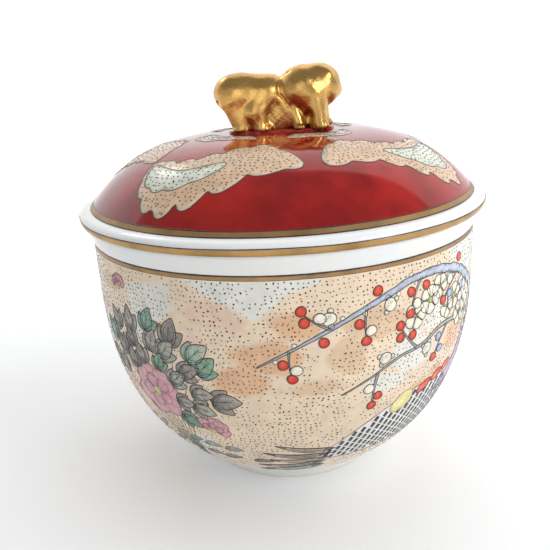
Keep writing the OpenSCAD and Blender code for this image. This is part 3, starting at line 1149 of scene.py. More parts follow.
def lobed(angle, radius, length, depth, outer, inner, sway, seed, stations=60, drawn=(-1.0, 1.0)):
    """A swaying band along a ring of the dome whose long edges break into round lobes.
    drawn is the part of the length that is kept, from -1 to 1."""
    rng = np.random.default_rng(700 + seed)
    t = np.linspace(*drawn, stations)
    e = (t - drawn[0]) / (drawn[1] - drawn[0]) * 2 - 1
    swell = 1 + 0.16 * np.sin(2.4 * e + rng.random() * 6)
    envelope = depth / 2 * np.maximum(1 - np.abs(e) ** 2.6, 0) ** 0.5 * swell
    warp = e + 0.10 * np.sin(math.pi * e + rng.random() * 6)
    fade = 1 - np.abs(e) ** 3

    def lobes(count):
        wave = np.abs(np.sin(math.pi * count * (warp + 1) / 2)) ** 0.6 - 0.5
        return envelope * (0.78 + 0.26 * fade * wave)
    middle = sway * np.sin(math.pi * 0.95 * t)
    u = np.concatenate([t, t[::-1][1:-1]]) * length / 2
    v = np.concatenate([middle + lobes(outer), (middle - lobes(inner))[::-1][1:-1]])
    return around(radius + v, math.radians(angle) + u / radius, 0)[:, :2]


def within_band(points):
    """Points pulled in to stay clear of the lid's gilt band, as a smooth outline."""
    radius = np.hypot(points[:, 0], points[:, 1])
    limit = BAND_R - 1.2
    points = points * np.where(radius > limit, limit / np.maximum(radius, 1e-6), 1)[:, None]
    return even(closed_spline(points), 0.9, True)


def tan_tint(points, depth):
    mottle = layered(points[:, 0] * 0.11 + 70, points[:, 1] * 0.11 + 70, 21)[:, None]
    share = smooth(0.0, 2.2, depth)[:, None]
    return CLOUD_TAN * (0.86 + 0.30 * mottle) * share + srgb(214, 194, 172) * (1 - share)


def white_tint(points, _):
    mottle = layered(points[:, 0] * 0.2 + 30, points[:, 1] * 0.2 + 70, 25)[:, None]
    return CLOUD_WHITE * (0.9 + 0.2 * mottle)


def cloud(cloud_points, tongue_points):
    """A tan cloud with a white tongue on it; gives back both outlines."""
    edge, tongue = within_band(cloud_points), within_band(tongue_points)
    fill(CLOUDS, edge, tan_tint, 0.05, step=1.7, crown=0.05)
    fill(TONGUES, tongue, white_tint, 0.11, step=1.7, crown=0.04)
    line(CLOUD_LINES, edge, 0.46, INK_BROWN, 0.06, closed=True, rise=0.08)
    line(CLOUD_LINES, tongue, 0.44, TONGUE_INK, 0.12, closed=True, rise=0.08)
    return edge, tongue


def lid_clouds():
    """An outer ring of broad S-shaped clouds, and smaller ones nearer the knob."""
    outlines = []
    seed = 0
    for share, count, start, length, depth, bend, lobes in CLOUD_RINGS:
        radius = BAND_R * share
        for k in range(count):
            rng = np.random.default_rng(40 + seed)
            angle = start + 360 / count * k + rng.normal(0, 3)
            hand = 1 if seed % 2 else -1
            reach = length * (0.94 + 0.12 * rng.random())
            drawn = (-0.10, 0.93) if hand > 0 else (-0.93, 0.10)
            outlines.append(cloud(
                lobed(angle, radius, reach, depth, lobes, lobes - 1, bend * hand, seed),
                lobed(angle, radius, reach, depth * 0.44, lobes // 2 + 1, 1, bend * hand,
                      seed + 50, 40, drawn)))
            seed += 1
    return outlines


def lid_stipple(outlines):
    """A jittered lattice of dots on the dome, kept where a cloud is."""
    rng = np.random.default_rng(9)
    radii = np.linspace(0, BAND_R, 900)
    arcs = np.concatenate([[0], np.cumsum(np.hypot(np.diff(radii), np.diff(dome_z(radii))))])
    points = []
    arc = 0.9
    while arc < arcs[-1]:
        radius = np.interp(arc, arcs, radii)
        count = max(3, int(2 * math.pi * radius / 1.86))
        start = rng.random() * ROUGH_TURN
        angle = (start + np.arange(count) / count * 2 * math.pi
                 + rng.normal(0, 0.2 / max(radius, 2), count) * 1.6)
        jittered = np.interp(arc + rng.normal(0, 0.30, count), arcs, radii)
        points.append(pairs(jittered * np.cos(angle), jittered * np.sin(angle)))
        arc += 1.62
    points = np.concatenate(points)
    on_tan, on_white, near = [np.zeros(len(points), bool) for _ in range(3)]
    for edge, tongue in outlines:
        on_tan |= inside(points, edge) & (edge_distance(points, edge) > 0.75)
        distance = edge_distance(points, tongue)
        near |= distance < 0.7
        on_white |= inside(points, tongue) & (distance > 0.7)
    on_tan = on_tan & ~on_white & ~near & (rng.random(len(points)) < 0.97)
    on_white = on_white & ~near
    count = on_tan.sum()
    dots(CLOUD_DOTS, points[on_tan], 0.32 + 0.15 * rng.random(count),
         srgb(96, 64, 46) * (0.7 + 0.6 * rng.random((count, 1))), over=0.09, rise=0.09, rng=rng)
    count = on_white.sum()
    dots(CLOUD_DOTS, points[on_white], 0.36 + 0.11 * rng.random(count),
         srgb(62, 52, 46) * (0.8 + 0.5 * rng.random((count, 1))), over=0.14, rise=0.09, rng=rng)


# ---------------------------------------------------------------- the brushed ground
# how strongly each kind of patch covers the cream
PATCH_PAINT = {"orange": (ORANGE, 0.78), "tan": (TAN, 0.62), "white": (CHALK, 0.85),
               "pink": (PINKISH, 0.6)}
PATCH_ORDER = ("orange", "white", "tan", "orange", "pink", "white", "tan")
ground_rng = np.random.default_rng(12)
# soft patches over the whole wall, spread by the golden ratio:
# kind, degrees, height, half width in degrees, half height, softness
PATCHES = [(PATCH_ORDER[k % 7], (k * 0.61803 % 1) * 360 - 180,
            height(0.20 + 0.76 * (k * 0.75488 % 1)), 7 + 6 * ground_rng.random(),
            5 + 5 * ground_rng.random(), 0.12 + 0.5 * ground_rng.random()) for k in range(64)]
# white clouds hang from the band: degrees, height of the point, spread on either side
HANGING = [(-10 + 72 * k + 5 * (ground_rng.random() - 0.5), height(0.86),
            15 + 5 * ground_rng.random(), 15 + 5 * ground_rng.random()) for k in range(5)]
HANGING_RISE = 11.5


def patch_share(degrees, z, index):
    """How much of one patch shows at each place."""
    _, centre, centre_z, half_width, half_height, soft = PATCHES[index]
    reach = np.hypot(wrap(degrees - centre) / half_width, (z - centre_z) / half_height)
    reach = reach + (layered(degrees * 0.10 + 40, z * 0.12, 40 + index, 3) - 0.5) * 0.9
    return 1 - smooth(0.55, 0.55 + 0.75 * soft, reach)


def hanging_share(degrees, z):
    """White clouds that hang in points from the gilt band."""
    out = np.zeros(np.shape(degrees))
    ragged = (layered(degrees * 0.16 + 40, z * 0.10, 5, 3) - 0.5) * 4.0
    for centre, point_z, below, above in HANGING:
        away = wrap(degrees - centre)
        minus = np.maximum(-away, 0) / below
        plus = np.maximum(away, 0) / above
        climb = np.where(away < 0, minus ** 1.05, plus ** 0.92) * HANGING_RISE
        out = np.maximum(out, smooth(-0.9, 1.1, z - (point_z + climb + ragged)))
    return out


def orange_share(degrees, z):
    out = np.zeros(np.shape(degrees))
    for i, patch in enumerate(PATCHES):
        if patch[0] == "orange":
            out = np.maximum(out, patch_share(degrees, z, i))
    return out * (1 - hanging_share(degrees, z))


def wash(degrees, z):
    """Colours of the painted ground round one height."""
    z = np.full_like(degrees, z)
    turn = (degrees + 180) / 360
    mottle = layered(turn * 24, z * 0.07, 8, 4, 24)[:, None]
    colour = CREAM * (0.93 + 0.14 * mottle)
    colour = colour * (1 - 0.25 * mottle) + srgb(224, 196, 168) * 0.25 * mottle
    for i, patch in enumerate(PATCHES):
        paint, strength = PATCH_PAINT[patch[0]]
        share = patch_share(degrees, z, i)[:, None] * strength
        colour = colour * (1 - share) + paint * share
    white = hanging_share(degrees, z)[:, None] * 0.95
    colour = colour * (1 - white) + CHALK * white
    colour = colour * (0.955 + 0.09 * layered(turn * 220, z * 0.62, 14, 3, 220)[:, None])
    low = smooth(17, 11.5, z)[:, None] * 0.7
    colour = colour * (1 - low) + CREAM * 0.98 * low
    # the lowest part is left nearly bare, with an uneven upper edge
    uneven = (noise(turn * 30, z * 0 + 2, 4, 30) - 0.5) * 0.8
    bare = smooth(11.2, 10.0, z + uneven)[:, None]
    return colour * (1 - bare) + srgb(228, 229, 228) * bare


def red_wash(degrees, radius):
    """Colours of the lid's red ground round one radius."""
    x, y, _ = around(radius, np.radians(degrees), 0).T
    mottle = layered(x * 0.06 + 90, y * 0.06 + 90, 71, 4)[:, None]
    streak = layered((degrees + 180) / 360 * 60, np.full_like(degrees, radius * 0.25), 73, 3,
                     60)[:, None]
    share = smooth(0.3, 0.7, 0.6 * mottle + 0.4 * streak)
    return RED * share + RED_DEEP * (1 - share)


def bowl_stipple():
    """A jittered lattice of dots over the wall, clear of the painted motifs."""
    rng = np.random.default_rng(31)
    bottom = arc_of(14.0)
    arc = WALL_ARC[-1] - 2.6
    points = []
    while arc > bottom:
        radius = r_of(arc)
        count = int(2 * math.pi * radius / 1.72)
        start = rng.random() * ROUGH_TURN
        angle = np.degrees(start + np.arange(count) / count * 2 * math.pi
                           + rng.normal(0, 0.26, count) / radius)
        up = np.clip(arc + rng.normal(0, 0.28, count), bottom, WALL_ARC[-1] - 2.0)
        points.append(pairs(wrap(angle) * PER_DEGREE, up))
        arc -= 1.52
    points = np.concatenate(points)
    blocked = np.zeros(len(points), bool)
    for poly in BLOCKED:
        for turn in (-360, 0, 360):
            moved = poly + [turn * PER_DEGREE, 0]
            low, high = moved.min(0) - 0.8, moved.max(0) + 0.8
            near = np.where(((points > low) & (points < high)).all(1))[0]
            if len(near):
                close = points[near]
                blocked[near] |= inside(close, moved) | (edge_distance(close, moved) < 0.65)
    z = z_of(points[:, 1])
    degrees = points[:, 0] / PER_DEGREE
    density = smooth(0.30, 0.42, layered(degrees / 360 * 40 + 40, z * 0.10, 61, 2, 40))
    density = density * 0.95 + 0.05
    density = np.where(z < 22, density * 0.5, density)
    keep = ~blocked & (rng.random(len(points)) < np.maximum(density, 0.35))
    points, z, degrees = points[keep], z[keep], degrees[keep]
    orange = orange_share(degrees, z)[:, None]
    colour = srgb(56, 46, 42) * (1 - orange) + srgb(100, 62, 42) * orange
    colour = colour * (0.75 + 0.6 * rng.random((len(points), 1)))
    radius = 0.20 + 0.20 * rng.random(len(points)) ** 1.2
    for name, chosen in (("front", (degrees >= -45) & (degrees < 45)),
                         ("right", (degrees >= 45) & (degrees < 135)),
                         ("left", (degrees >= -135) & (degrees < -45)),
                         ("back", (degrees >= 135) | (degrees < -135))):
        dots("bowl_stipple_" + name, points[chosen], radius[chosen], colour[chosen], over=0.02,
             rise=0.08, rng=rng)


# ---------------------------------------------------------------- films
def film(part, material, profile, hand, colour, segments=360):
    """A closed film of revolution in place of a CAD part. The profile is (radius, z) on the
    porcelain; hand turns its normals outwards; colour takes (degrees, radius, z)."""
    name = part + "_film"
    count = len(profile)
    tangent = np.gradient(profile, axis=0)
    tangent /= np.linalg.norm(tangent, axis=1)[:, None]
    normals = pairs(tangent[:, 1], -tangent[:, 0]) * hand
    inner = sorted(set(range(0, count, 4)) | {count - 1})[::-1]
    rows = np.concatenate([profile + normals * FILM, (profile - normals * FILM_SINK)[inner]])
    angle = np.arange(segments) / segments * 2 * math.pi
    degrees = np.degrees(np.where(angle > math.pi, angle - 2 * math.pi, angle))
    colours = np.zeros((count, segments, 3))
    for i in range(count):
        colours[i] = colour(degrees, *profile[i])
    colours = np.concatenate([colours, colours[inner]])
    verts = around(rows[:, :1], angle, rows[:, 1:])
    made = mesh_object(name, verts.reshape(-1, 3), tube_faces(len(rows), segments),
                       colours.reshape(-1, 3), material)
    add_edge_split(made, 50)
    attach(made, part.split("_")[0])
    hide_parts(part)


def wall_profile(z):
    return pairs(wall_r(z), z)


def dome_profile(radius):
    return pairs(radius, dome_z(radius))


def gilt(degrees, radius, z):
    return GILT


ground_z = np.concatenate([np.linspace(GROUND_Z, 20, 34), np.linspace(20, BAND_Z, 110)[1:]])
film("bowl_painted_ground", GROUND_ENAMEL, wall_profile(ground_z), 1,
     lambda degrees, radius, z: wash(degrees, z), segments=600)
film("bowl_gilt_band", BAND_GILT,
     wall_profile(np.linspace(BAND_Z, SHOULDER_Z, 7)), 1, gilt)
film("lid_gilt_band", BAND_GILT,
     dome_profile(np.linspace(BAND_R, DOME_R, 7)), -1, gilt)
red_r = np.concatenate([np.linspace(0.4, 60, 72), np.linspace(60, BAND_R, 18)[1:]])
film("lid_red_ground", RED_ENAMEL, dome_profile(red_r), -1,
     lambda degrees, radius, z: red_wash(degrees, radius))
for edge_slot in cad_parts["lid_edge_gilding"].material_slots:
    edge_slot.material = EDGE_GILT

# ---------------------------------------------------------------- the painting
# the same three motifs on the front and on the back, each with its own seed
for side_turn, seeds, side_ink in ((0, (0, 0, 0), OUTLINES), (180, (1, 2, 3), OUTLINES_BACK)):
    for motif, motif_seed in zip((peony, plum, pheasant), seeds):
        motif(Side(side_turn, motif_seed, side_ink))
bowl_stipple()
lid_stipple(lid_clouds())


def liners():
    """Dark lines along both edges of both bands, and along the lid's edge gilding."""
    for z, width, colour, seed in ((SHOULDER_Z - 0.02, 0.62, INK, 1),
                                   (BAND_Z + 0.02, 0.16, INK_BROWN, 2)):
        normal = wall_normal(z - 0.1)
        ring_line("bowl_band_liners", float(wall_r(z)) + FILM * normal[0], z + FILM * normal[1],
                  normal, width, colour, seed)
    for radius, width, seed in ((BAND_R + 0.05, 0.42, 5), (DOME_R - 0.10, 0.40, 6)):
        normal = dome_normal(radius)
        ring_line("lid_band_liners", radius + FILM * normal[0],
                  float(dome_z(radius)) + FILM * normal[1], normal, width, INK, seed)
    ring_line("lid_edge_liner", LIP_R + 0.02 + FILM * 0.6, LIP_MID_Z - 0.02, (1.0, 0.02), 0.34,
              srgb(70, 52, 40), seed=8, wobble=0.10)


liners()
for gathered in PIECES.values():
    gathered.build()


# ---------------------------------------------------------------- solids by signed distance
def soft_min(a, b, blend):
    near = np.maximum(blend - np.abs(a - b), 0) / blend
    return np.minimum(a, b) - near * near * near * blend / 6


def soft_max(a, b, blend):
    return -soft_min(-a, -b, blend)


def egg(points, centre, radii, yaw=0.0, pitch=0.0):
    """Distance to an ellipsoid; yaw about z and pitch about y in degrees."""
    x, y, z = np.moveaxis(points - np.asarray(centre, float), -1, 0)
    cos, sin = math.cos(-math.radians(yaw)), math.sin(-math.radians(yaw))
    x, y = x * cos - y * sin, x * sin + y * cos
    cos, sin = math.cos(-math.radians(pitch)), math.sin(-math.radians(pitch))
    x, z = x * cos + z * sin, -x * sin + z * cos
    rx, ry, rz = radii
    first = np.sqrt((x / rx) ** 2 + (y / ry) ** 2 + (z / rz) ** 2)
    second = np.sqrt((x / rx ** 2) ** 2 + (y / ry ** 2) ** 2 + (z / rz ** 2) ** 2)
    return first * (first - 1) / np.maximum(second, 1e-6)


def limb(points, start, end, start_r, end_r):
    """Distance to a tapering rod with round ends."""
    start = np.asarray(start, float)
    axis = np.asarray(end, float) - start
    share = np.clip(((points - start) @ axis) / (axis @ axis), 0, 1)
    gap = np.sqrt(((points - start - share[..., None] * axis) ** 2).sum(-1))
    return gap - (start_r + (end_r - start_r) * share)


def curl(points, centre, normal, radius, hand, phase, turns=1.7, depth=0.34, width=0.62):
    """Depth of a spiral groove cut in a lock of hair about a centre, facing normal."""
    normal = unit(np.asarray(normal, float))
    east = unit(np.cross([0, 0, 1.0], normal))
    rel = points - np.asarray(centre, float)
    x, y, z = rel @ east, rel @ np.cross(normal, east), rel @ normal
    reach = np.hypot(x, y)
    pitch = radius / turns
    share = (reach / pitch - (np.arctan2(y, x) * hand + phase) / (2 * math.pi)) % 1.0
    gap = np.minimum(share, 1 - share) * pitch
    groove = (np.exp(-(gap / (width * 0.5)) ** 2)
              * (1 - smooth(radius * 0.82, radius * 1.05, reach)) * smooth(-1.5, -0.3, z + 1.0))
    return groove * depth


def merge(points, solid, parts):
    """The solid with parts blended on in turn; a part is (blend, shape, its sizes...)."""
    for blend, shape, *sizes in parts:
        solid = soft_min(solid, shape(points, *sizes), blend)
    return solid


# ---------------------------------------------------------------- the knob: a lion-dog
# x runs along the body with the head at +x, the bowl's front is -y, z is up from the dome's top
def hind_leg(hand, shift):
    return [(3.0, limb, (-3.8 + shift, hand * 3.6, 12.0), (-8.0 + shift, hand * 4.9, 6.6),
             4.6, 4.2),
            (2.4, limb, (-7.4 + shift, hand * 5.2, 6.4), (-6.0 + shift, hand * 5.8, 0.2),
             3.5, 2.8),
            (1.4, egg, (-5.4 + shift, hand * 6.0, 0.6), (3.4, 2.6, 1.7))]


RUMP = ((-13.2, 0.2, 12.6), (9.7, 8.6, 6.9), 0, 2)
BODY = [
    (3.5, egg, (-4.0, 0.3, 12.9), (13.0, 7.6, 5.8), 0, 1),              # back
    (3.0, egg, (-2.0, 0.2, 8.4), (14.5, 5.6, 4.8)),                     # belly
    *hind_leg(-1, 0.0),
    *hind_leg(1, -0.8),
    (3.0, limb, (-15.0, -2.6, 9.6), (-12.6, -4.0, 1.2), 5.0, 3.5),      # rearmost legs
    (3.0, limb, (-15.0, 3.0, 9.6), (-12.6, 4.2, 1.2), 5.0, 3.5),
    (0.9, egg, (-13.2, -4.6, 0.5), (3.2, 2.8, 1.8)),                    # and their paws
    (0.9, egg, (-13.2, 4.8, 0.5), (3.2, 2.8, 1.8)),
    (3.0, egg, (1.0, 0, 4.4), (17.0, 6.1, 9.4)),                        # clay between the legs
]
MANE = ((9.4, -0.4, 13.2), (8.8, 9.2, 7.8), 0, -8)
HEAD = [
    (2.6, egg, (15.4, 0.4, 13.6), (8.4, 8.0, 7.7), 10, -6),
    (1.8, egg, (17.6, 2.4, 15.6), (5.6, 6.2, 4.6), 24, 18),             # brow
    (1.4, egg, (19.8, 2.8, 12.2), (4.6, 5.0, 3.8), 24, 6),              # snout
    (1.0, egg, (18.0, 2.4, 9.4), (4.0, 4.4, 2.4), 24, -14),             # jaw
]
LIMBS = [
    (2.8, limb, (12.8, -4.2, 10.4), (15.0, -5.8, 0.4), 5.2, 3.2),       # forelegs and paws
    (1.2, egg, (15.6, -6.2, 0.6), (3.3, 2.5, 1.7)),
    (1.3, limb, (15.6, 4.4, 8.4), (17.4, 5.6, 0.4), 3.6, 2.6),
    (0.9, egg, (18.0, 5.8, 0.6), (3.0, 2.4, 1.7)),
    (2.0, limb, (4.8, -4.2, 8.6), (8.2, -5.6, 0.6), 2.6, 2.2),
    (0.7, egg, (8.0, -6.7, 0.5), (2.4, 1.9, 1.4)),
    (1.0, limb, (4.8, 4.6, 8.6), (7.6, 6.2, 0.6), 2.2, 1.9),
    (2.2, limb, (2.0, -4.8, 9.8), (4.6, -4.8, 2.2), 1.7, 1.3),          # fold of hair
    (0.8, egg, (-20.0, -1.4, 10.2), (2.2, 3.2, 2.2)),                   # tail
    (1.2, limb, (-20.4, 0.6, 11.6), (-18.2, 2.2, 15.2), 2.0, 2.4),
    (1.2, limb, (-17.6, 2.6, 15.8), (-13.0, 3.4, 18.0), 1.9, 1.1),
    (0.8, egg, (11.6, 6.4, 18.2), (3.4, 1.8, 2.2), 30, 14),             # ears
    (1.6, egg, (17.4, -3.4, 17.6), (3.4, 2.2, 2.2), -24, 16),
]
FACE_TURN = math.radians(58)
FACE_FORWARD = np.array([math.cos(FACE_TURN), math.sin(FACE_TURN), 0])
FACE_SIDE = np.array([-FACE_FORWARD[1], FACE_FORWARD[0], 0])
FACE_CENTRE = np.array([16.6, 3.0, 0.0])


def on_face(forward, side, z):
    return FACE_CENTRE + FACE_FORWARD * forward + FACE_SIDE * side + np.array([0, 0, z])


FACE = []
for face_hand in (-1, 1):
    FACE += [(0.25, egg, on_face(4.6, 2.7 * face_hand, 15.6), (1.2, 1.25, 1.15)),    # eye
             (0.5, egg, on_face(4.1, 2.9 * face_hand, 17.1), (1.7, 1.9, 0.8), 24),   # eyebrow
             (0.6, egg, on_face(5.3, 2.5 * face_hand, 11.9), (1.7, 1.6, 1.5))]       # cheek
FACE.append((0.4, egg, on_face(6.4, 0, 13.2), (1.15, 1.7, 1.05), 24))                # nose
# hollows: blend, centre, radii; under the tail, then behind each foremost leg
HOLLOWS = ((1.6, (-22.2, -3.4, 9.4), (1.7, 2.2, 1.3)), (1.0, (11.2, -9.6, 3.2), (2.0, 4.2, 3.6)),
           (1.0, (11.4, 9.6, 3.2), (2.0, 4.2, 3.6)))
# curls of hair: centre, normal, radius, hand, phase
CURLS = (
    ((10.8, 8.6, 13.6), (0.1, 1, 0.1), 2.7, 1, 0.4), ((5.4, 8.0, 13.0), (-0.3, 1, 0.1), 2.3, -1, 1.6),
    ((8.2, 7.4, 17.8), (-0.1, 0.8, 0.7), 2.3, 1, 2.8),
    ((4.2, 3.4, 19.2), (-0.5, 0.3, 0.9), 2.2, -1, 0.9),
    ((8.8, -0.6, 21.0), (-0.1, -0.1, 1), 2.5, 1, 2.0),
    ((13.4, 2.4, 21.2), (0.1, 0.1, 1), 2.2, -1, 0.2),
    ((4.0, -2.8, 19.0), (-0.5, -0.4, 0.9), 2.1, 1, 1.2),
    ((12.4, 8.0, 9.0), (0.1, 1, -0.3), 2.0, -1, 2.2),
    ((-20.0, 0.6, 13.6), (-0.9, 0.3, 0.5), 2.2, 1, 0.5),
    ((-16.4, 4.4, 16.4), (-0.3, 0.6, 0.8), 2.0, -1, 1.0))
# (x, y) of the paws that get toes
PAWS = ((-6.0, -7.0), (-13.2, -4.6), (15.8, -6.8), (8.0, -6.7), (-6.8, 7.0), (-13.2, 4.8),
        (18.0, 5.8))


def lion_detail(points):
    """Depth of the hair, toes and unevenness cut into the figure."""
    x, y, z = np.moveaxis(points, -1, 0)
    locks = sum(curl(points, *row) for row in CURLS)
    comb = (0.018 * np.sin(x * 1.5 + z * 2.1 + 1.2 * np.sin(y * 0.5))
            * smooth(8, 11, z) * smooth(2.5, 5.5, x) * smooth(-3, -6, y))
    toes = 0
    for paw_x, paw_y in PAWS:
        near = (np.exp(-(((x - paw_x - 0.6) / 3.0) ** 2 + ((y - paw_y) / 3.0) ** 2))
                * smooth(2.4, 1.2, z))
        stripe = np.mod((x - paw_x) * 0.6 + (y - paw_y) * 0.7 + 10, 1.5) - 0.75
        toes = toes + 0.28 * near * np.exp(-(stripe / 0.22) ** 2)
    soft = (0.05 * (np.sin(x * 0.9 + 1.0) * np.sin(y * 1.1 + 2) * np.sin(z * 1.0))
            + 0.015 * np.sin(x * 2.3 + y * 1.4) * np.sin(z * 2.2 + x * 0.6))
    rough_clay = (0.05 * np.exp(-(x / 5.0) ** 2) * smooth(9.5, 6, z)
                  * np.sin(x * 2.6 + np.sin(z * 2.0) * 1.5) * np.sin(z * 2.9 + 0.6))
    return locks + comb + toes + soft + rough_clay


def knob_field(points):
    """Signed distance to the figure, cut off flat below its feet."""
    x, y, z = np.moveaxis(points, -1, 0)
    body = merge(points, egg(points, *RUMP), BODY)
    head = merge(points, egg(points, *MANE), HEAD)
    solid = merge(points, soft_min(body, head, 0.9), LIMBS + FACE)
    # the line of the mouth
    across = (points - on_face(5, 0, 0)) @ FACE_SIDE
    mouth = np.sqrt(((z - (10.3 + 0.05 * across ** 2)) / 0.36) ** 2
                    + np.maximum(np.abs(across) - 3.4, 0) ** 2)
    at_face = smooth(2.0, 3.6, (points - FACE_CENTRE) @ FACE_FORWARD)
    solid = solid + 0.5 * np.exp(-mouth ** 2) * at_face
    for blend, centre, radii in HOLLOWS:
        solid = soft_max(solid, -egg(points, centre, radii), blend)
    # the crease where mane meets back
    ridge = x - (1.4 - 0.05 * np.abs(y) + np.maximum(0, 12.0 - z) * 0.75)
    solid = solid + 0.55 * np.exp(-(ridge / 0.75) ** 2) * smooth(5.0, 9.0, z)
    return soft_max(solid + lion_detail(points), -(z + 0.55), 0.3)


# circles of the pad: centre, radius
PAD_CIRCLES = (((-11.0, -0.2), 7.2), ((-6.0, 0.0), 8.4), ((0.5, 0.0), 7.4), ((8.0, 0.0), 8.0),
               ((13.6, -0.2), 7.4))


def pad_field(points):
    """Signed distance to the low pad round the figure's feet."""
    x, y, z = np.moveaxis(points, -1, 0)
    discs = [np.sqrt((x - cx) ** 2 + (y - cy) ** 2) - radius for (cx, cy), radius in PAD_CIRCLES]
    solid = discs[0]
    for disc in discs[1:]:
        solid = soft_min(solid, disc, 3.0)
    solid = solid + 0.25 * np.sin(x * 0.8 + 1) * np.sin(y * 0.9)
    return soft_max(solid, np.abs(z - 0.10) - 0.95, 0.9)


def surface_net(field, low, high, step, slab=40):
    """Surface nets: one vertex per crossed cell, one quad per crossed edge."""
    axes = [np.arange(low[i], high[i] + step, step) for i in range(3)]
    values = np.empty([len(axis) for axis in axes], np.float32)
    for i in range(0, len(axes[0]), slab):
        grid = np.meshgrid(axes[0][i:i + slab], axes[1], axes[2], indexing="ij")
        values[i:i + slab] = field(np.stack(grid, -1))
    solid = values < 0
    nx, ny, nz = np.array(solid.shape) - 1
    corners_in = sum(solid[a:nx + a, b:ny + b, c:nz + c].astype(np.int8)
                     for a, b, c in np.ndindex(2, 2, 2))
    active = (corners_in > 0) & (corners_in < 8)
    cells = np.argwhere(active)
    index = -np.ones(active.shape, np.int64)
    index[active] = np.arange(len(cells))
    unit_steps = np.eye(3, dtype=int)
    # a vertex is the mean of the crossings on its cell's edges
    total = np.zeros((len(cells), 3))
    count = np.zeros(len(cells))
    for axis in range(3):
        for corner in np.ndindex(2, 2, 2):
            if corner[axis]:
                continue
            start = cells + corner
            first = values[tuple(start.T)]
            second = values[tuple((start + unit_steps[axis]).T)]
            crossed = (first < 0) != (second < 0)
            share = np.where(crossed, first / np.where(crossed, first - second, 1), 0)
            crossing = start + unit_steps[axis] * share[:, None]
            total[crossed] += crossing[crossed]
            count[crossed] += 1
    verts = total / count[:, None] * step + np.array(low)
    quads = []
    for axis in range(3):
        u, v = (axis + 1) % 3, (axis + 2) % 3
        edges = np.argwhere(np.diff(solid, axis=axis))
        edges = edges[(edges[:, u] > 0) & (edges[:, v] > 0)
                      & (edges[:, u] < solid.shape[u] - 1) & (edges[:, v] < solid.shape[v] - 1)]
        du, dv = unit_steps[u], unit_steps[v]
        quad = np.stack([index[tuple(cell.T)]
                         for cell in (edges - du - dv, edges - dv, edges, edges - du)], 1)
        leaving = solid[tuple(edges.T)]
        quads.append(np.where(leaving[:, None], quad, quad[:, ::-1]))
    return verts, np.concatenate(quads).tolist()


def gradient(field, points, half=0.12):
    return np.stack([field(points + axis * half) - field(points - axis * half)
                     for axis in np.eye(3)], -1) / (2 * half)


def build_knob():
    lift = TOP_Z + 0.9                  # the figure stands on the pad
    tall = 1.055                        # and is stretched a little upwards
    verts, quads = surface_net(knob_field, (-25.5, -11.5, -1.2), (27, 12.5, 23.5), 0.38)
    # settle the vertices on the surface
    for _ in range(2):
        distance = knob_field(verts)
        slope = gradient(knob_field, verts)
        share = np.clip(distance / np.maximum((slope ** 2).sum(-1), 0.3), -0.2, 0.2)
        verts = verts - share[:, None] * slope * 0.9
    # hollows and the parts near the feet are darker
    normals = unit(gradient(knob_field, verts))
    near, far = [np.clip(knob_field(verts + normals * reach) / reach, 0, 1)
                 for reach in (1.1, 3.0)]
    hollow = smooth(0.12, 0.62, np.clip(1 - 0.5 * near - 0.5 * far, 0, 1))[:, None]
    mottle = layered(verts[:, 0] * 0.35 + 60, verts[:, 2] * 0.35 + verts[:, 1] * 0.2 + 60, 81, 3)
    colour = np.ones((len(verts), 3)) * (0.82 + 0.3 * mottle[:, None])
    colour = colour * (1 - hollow) + np.array([0.60, 0.50, 0.40]) * hollow
    low = smooth(1.2, 0.1, verts[:, 2])[:, None] * 0.6
    colour = colour * (1 - low) + np.array([0.50, 0.34, 0.26]) * low
    knob = mesh_object("knob_lion", verts * [1, 1, tall] + [0, 0, lift], quads,
                       np.clip(colour, 0, 1.2), KNOB_GILT)
    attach(knob, "lid")
    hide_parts("finial")


def build_pad():
    verts, quads = surface_net(pad_field, (-24, -12, -1.4), (26, 12, 2.2), 0.42)
    pad = Piece("knob_pad_enamel", "lid", "enamel_red_ground", RED_ENAMEL)
    mottle = layered(verts[:, 0] * 0.3 + 60, verts[:, 1] * 0.3 + 60, 85, 3)[:, None]
    pad.add(verts + [0, 0, TOP_Z], quads, RED * (0.6 + 0.5 * mottle))
    pad.build()


build_knob()
build_pad()


# ---------------------------------------------------------------- studio, metres
def sweep_paper():
    """Pale paper that glows a little, more towards the back and away from the bowl."""
    material, nodes, surface, coord = start_material("sweep_paper")
    tone = nodes.ramp(nodes.noise(coord, 3, detail=2), (0.3, (0.77, 0.77, 0.78)), (0.7, 0.80))
    split = nodes.add("SeparateXYZ", {0: coord})
    back = nodes.remap(split.outputs[1], -0.15, 1.1, 0.0, 0.5, interpolation_type="SMOOTHSTEP")
    left = nodes.remap(split.outputs[0], 0.35, -0.35, 0.0, 0.02)
    distance = nodes.add("VectorMath", {0: coord}, operation="LENGTH").outputs["Value"]
    far = nodes.remap(distance, 0.8, 2.2, 0.0, 0.5, interpolation_type="SMOOTHSTEP")
    glow = nodes.math("ADD", nodes.math("MAXIMUM", back, far), left)
    nodes.feed(surface, {
        "Base Color": tone,
        "Roughness": 0.6,
        "Specular IOR Level": 0.2,
        "Emission Strength": nodes.math("ADD", glow, 0.11),
        "Emission Color": (0.99, 1.0, 1.0)})
    return material


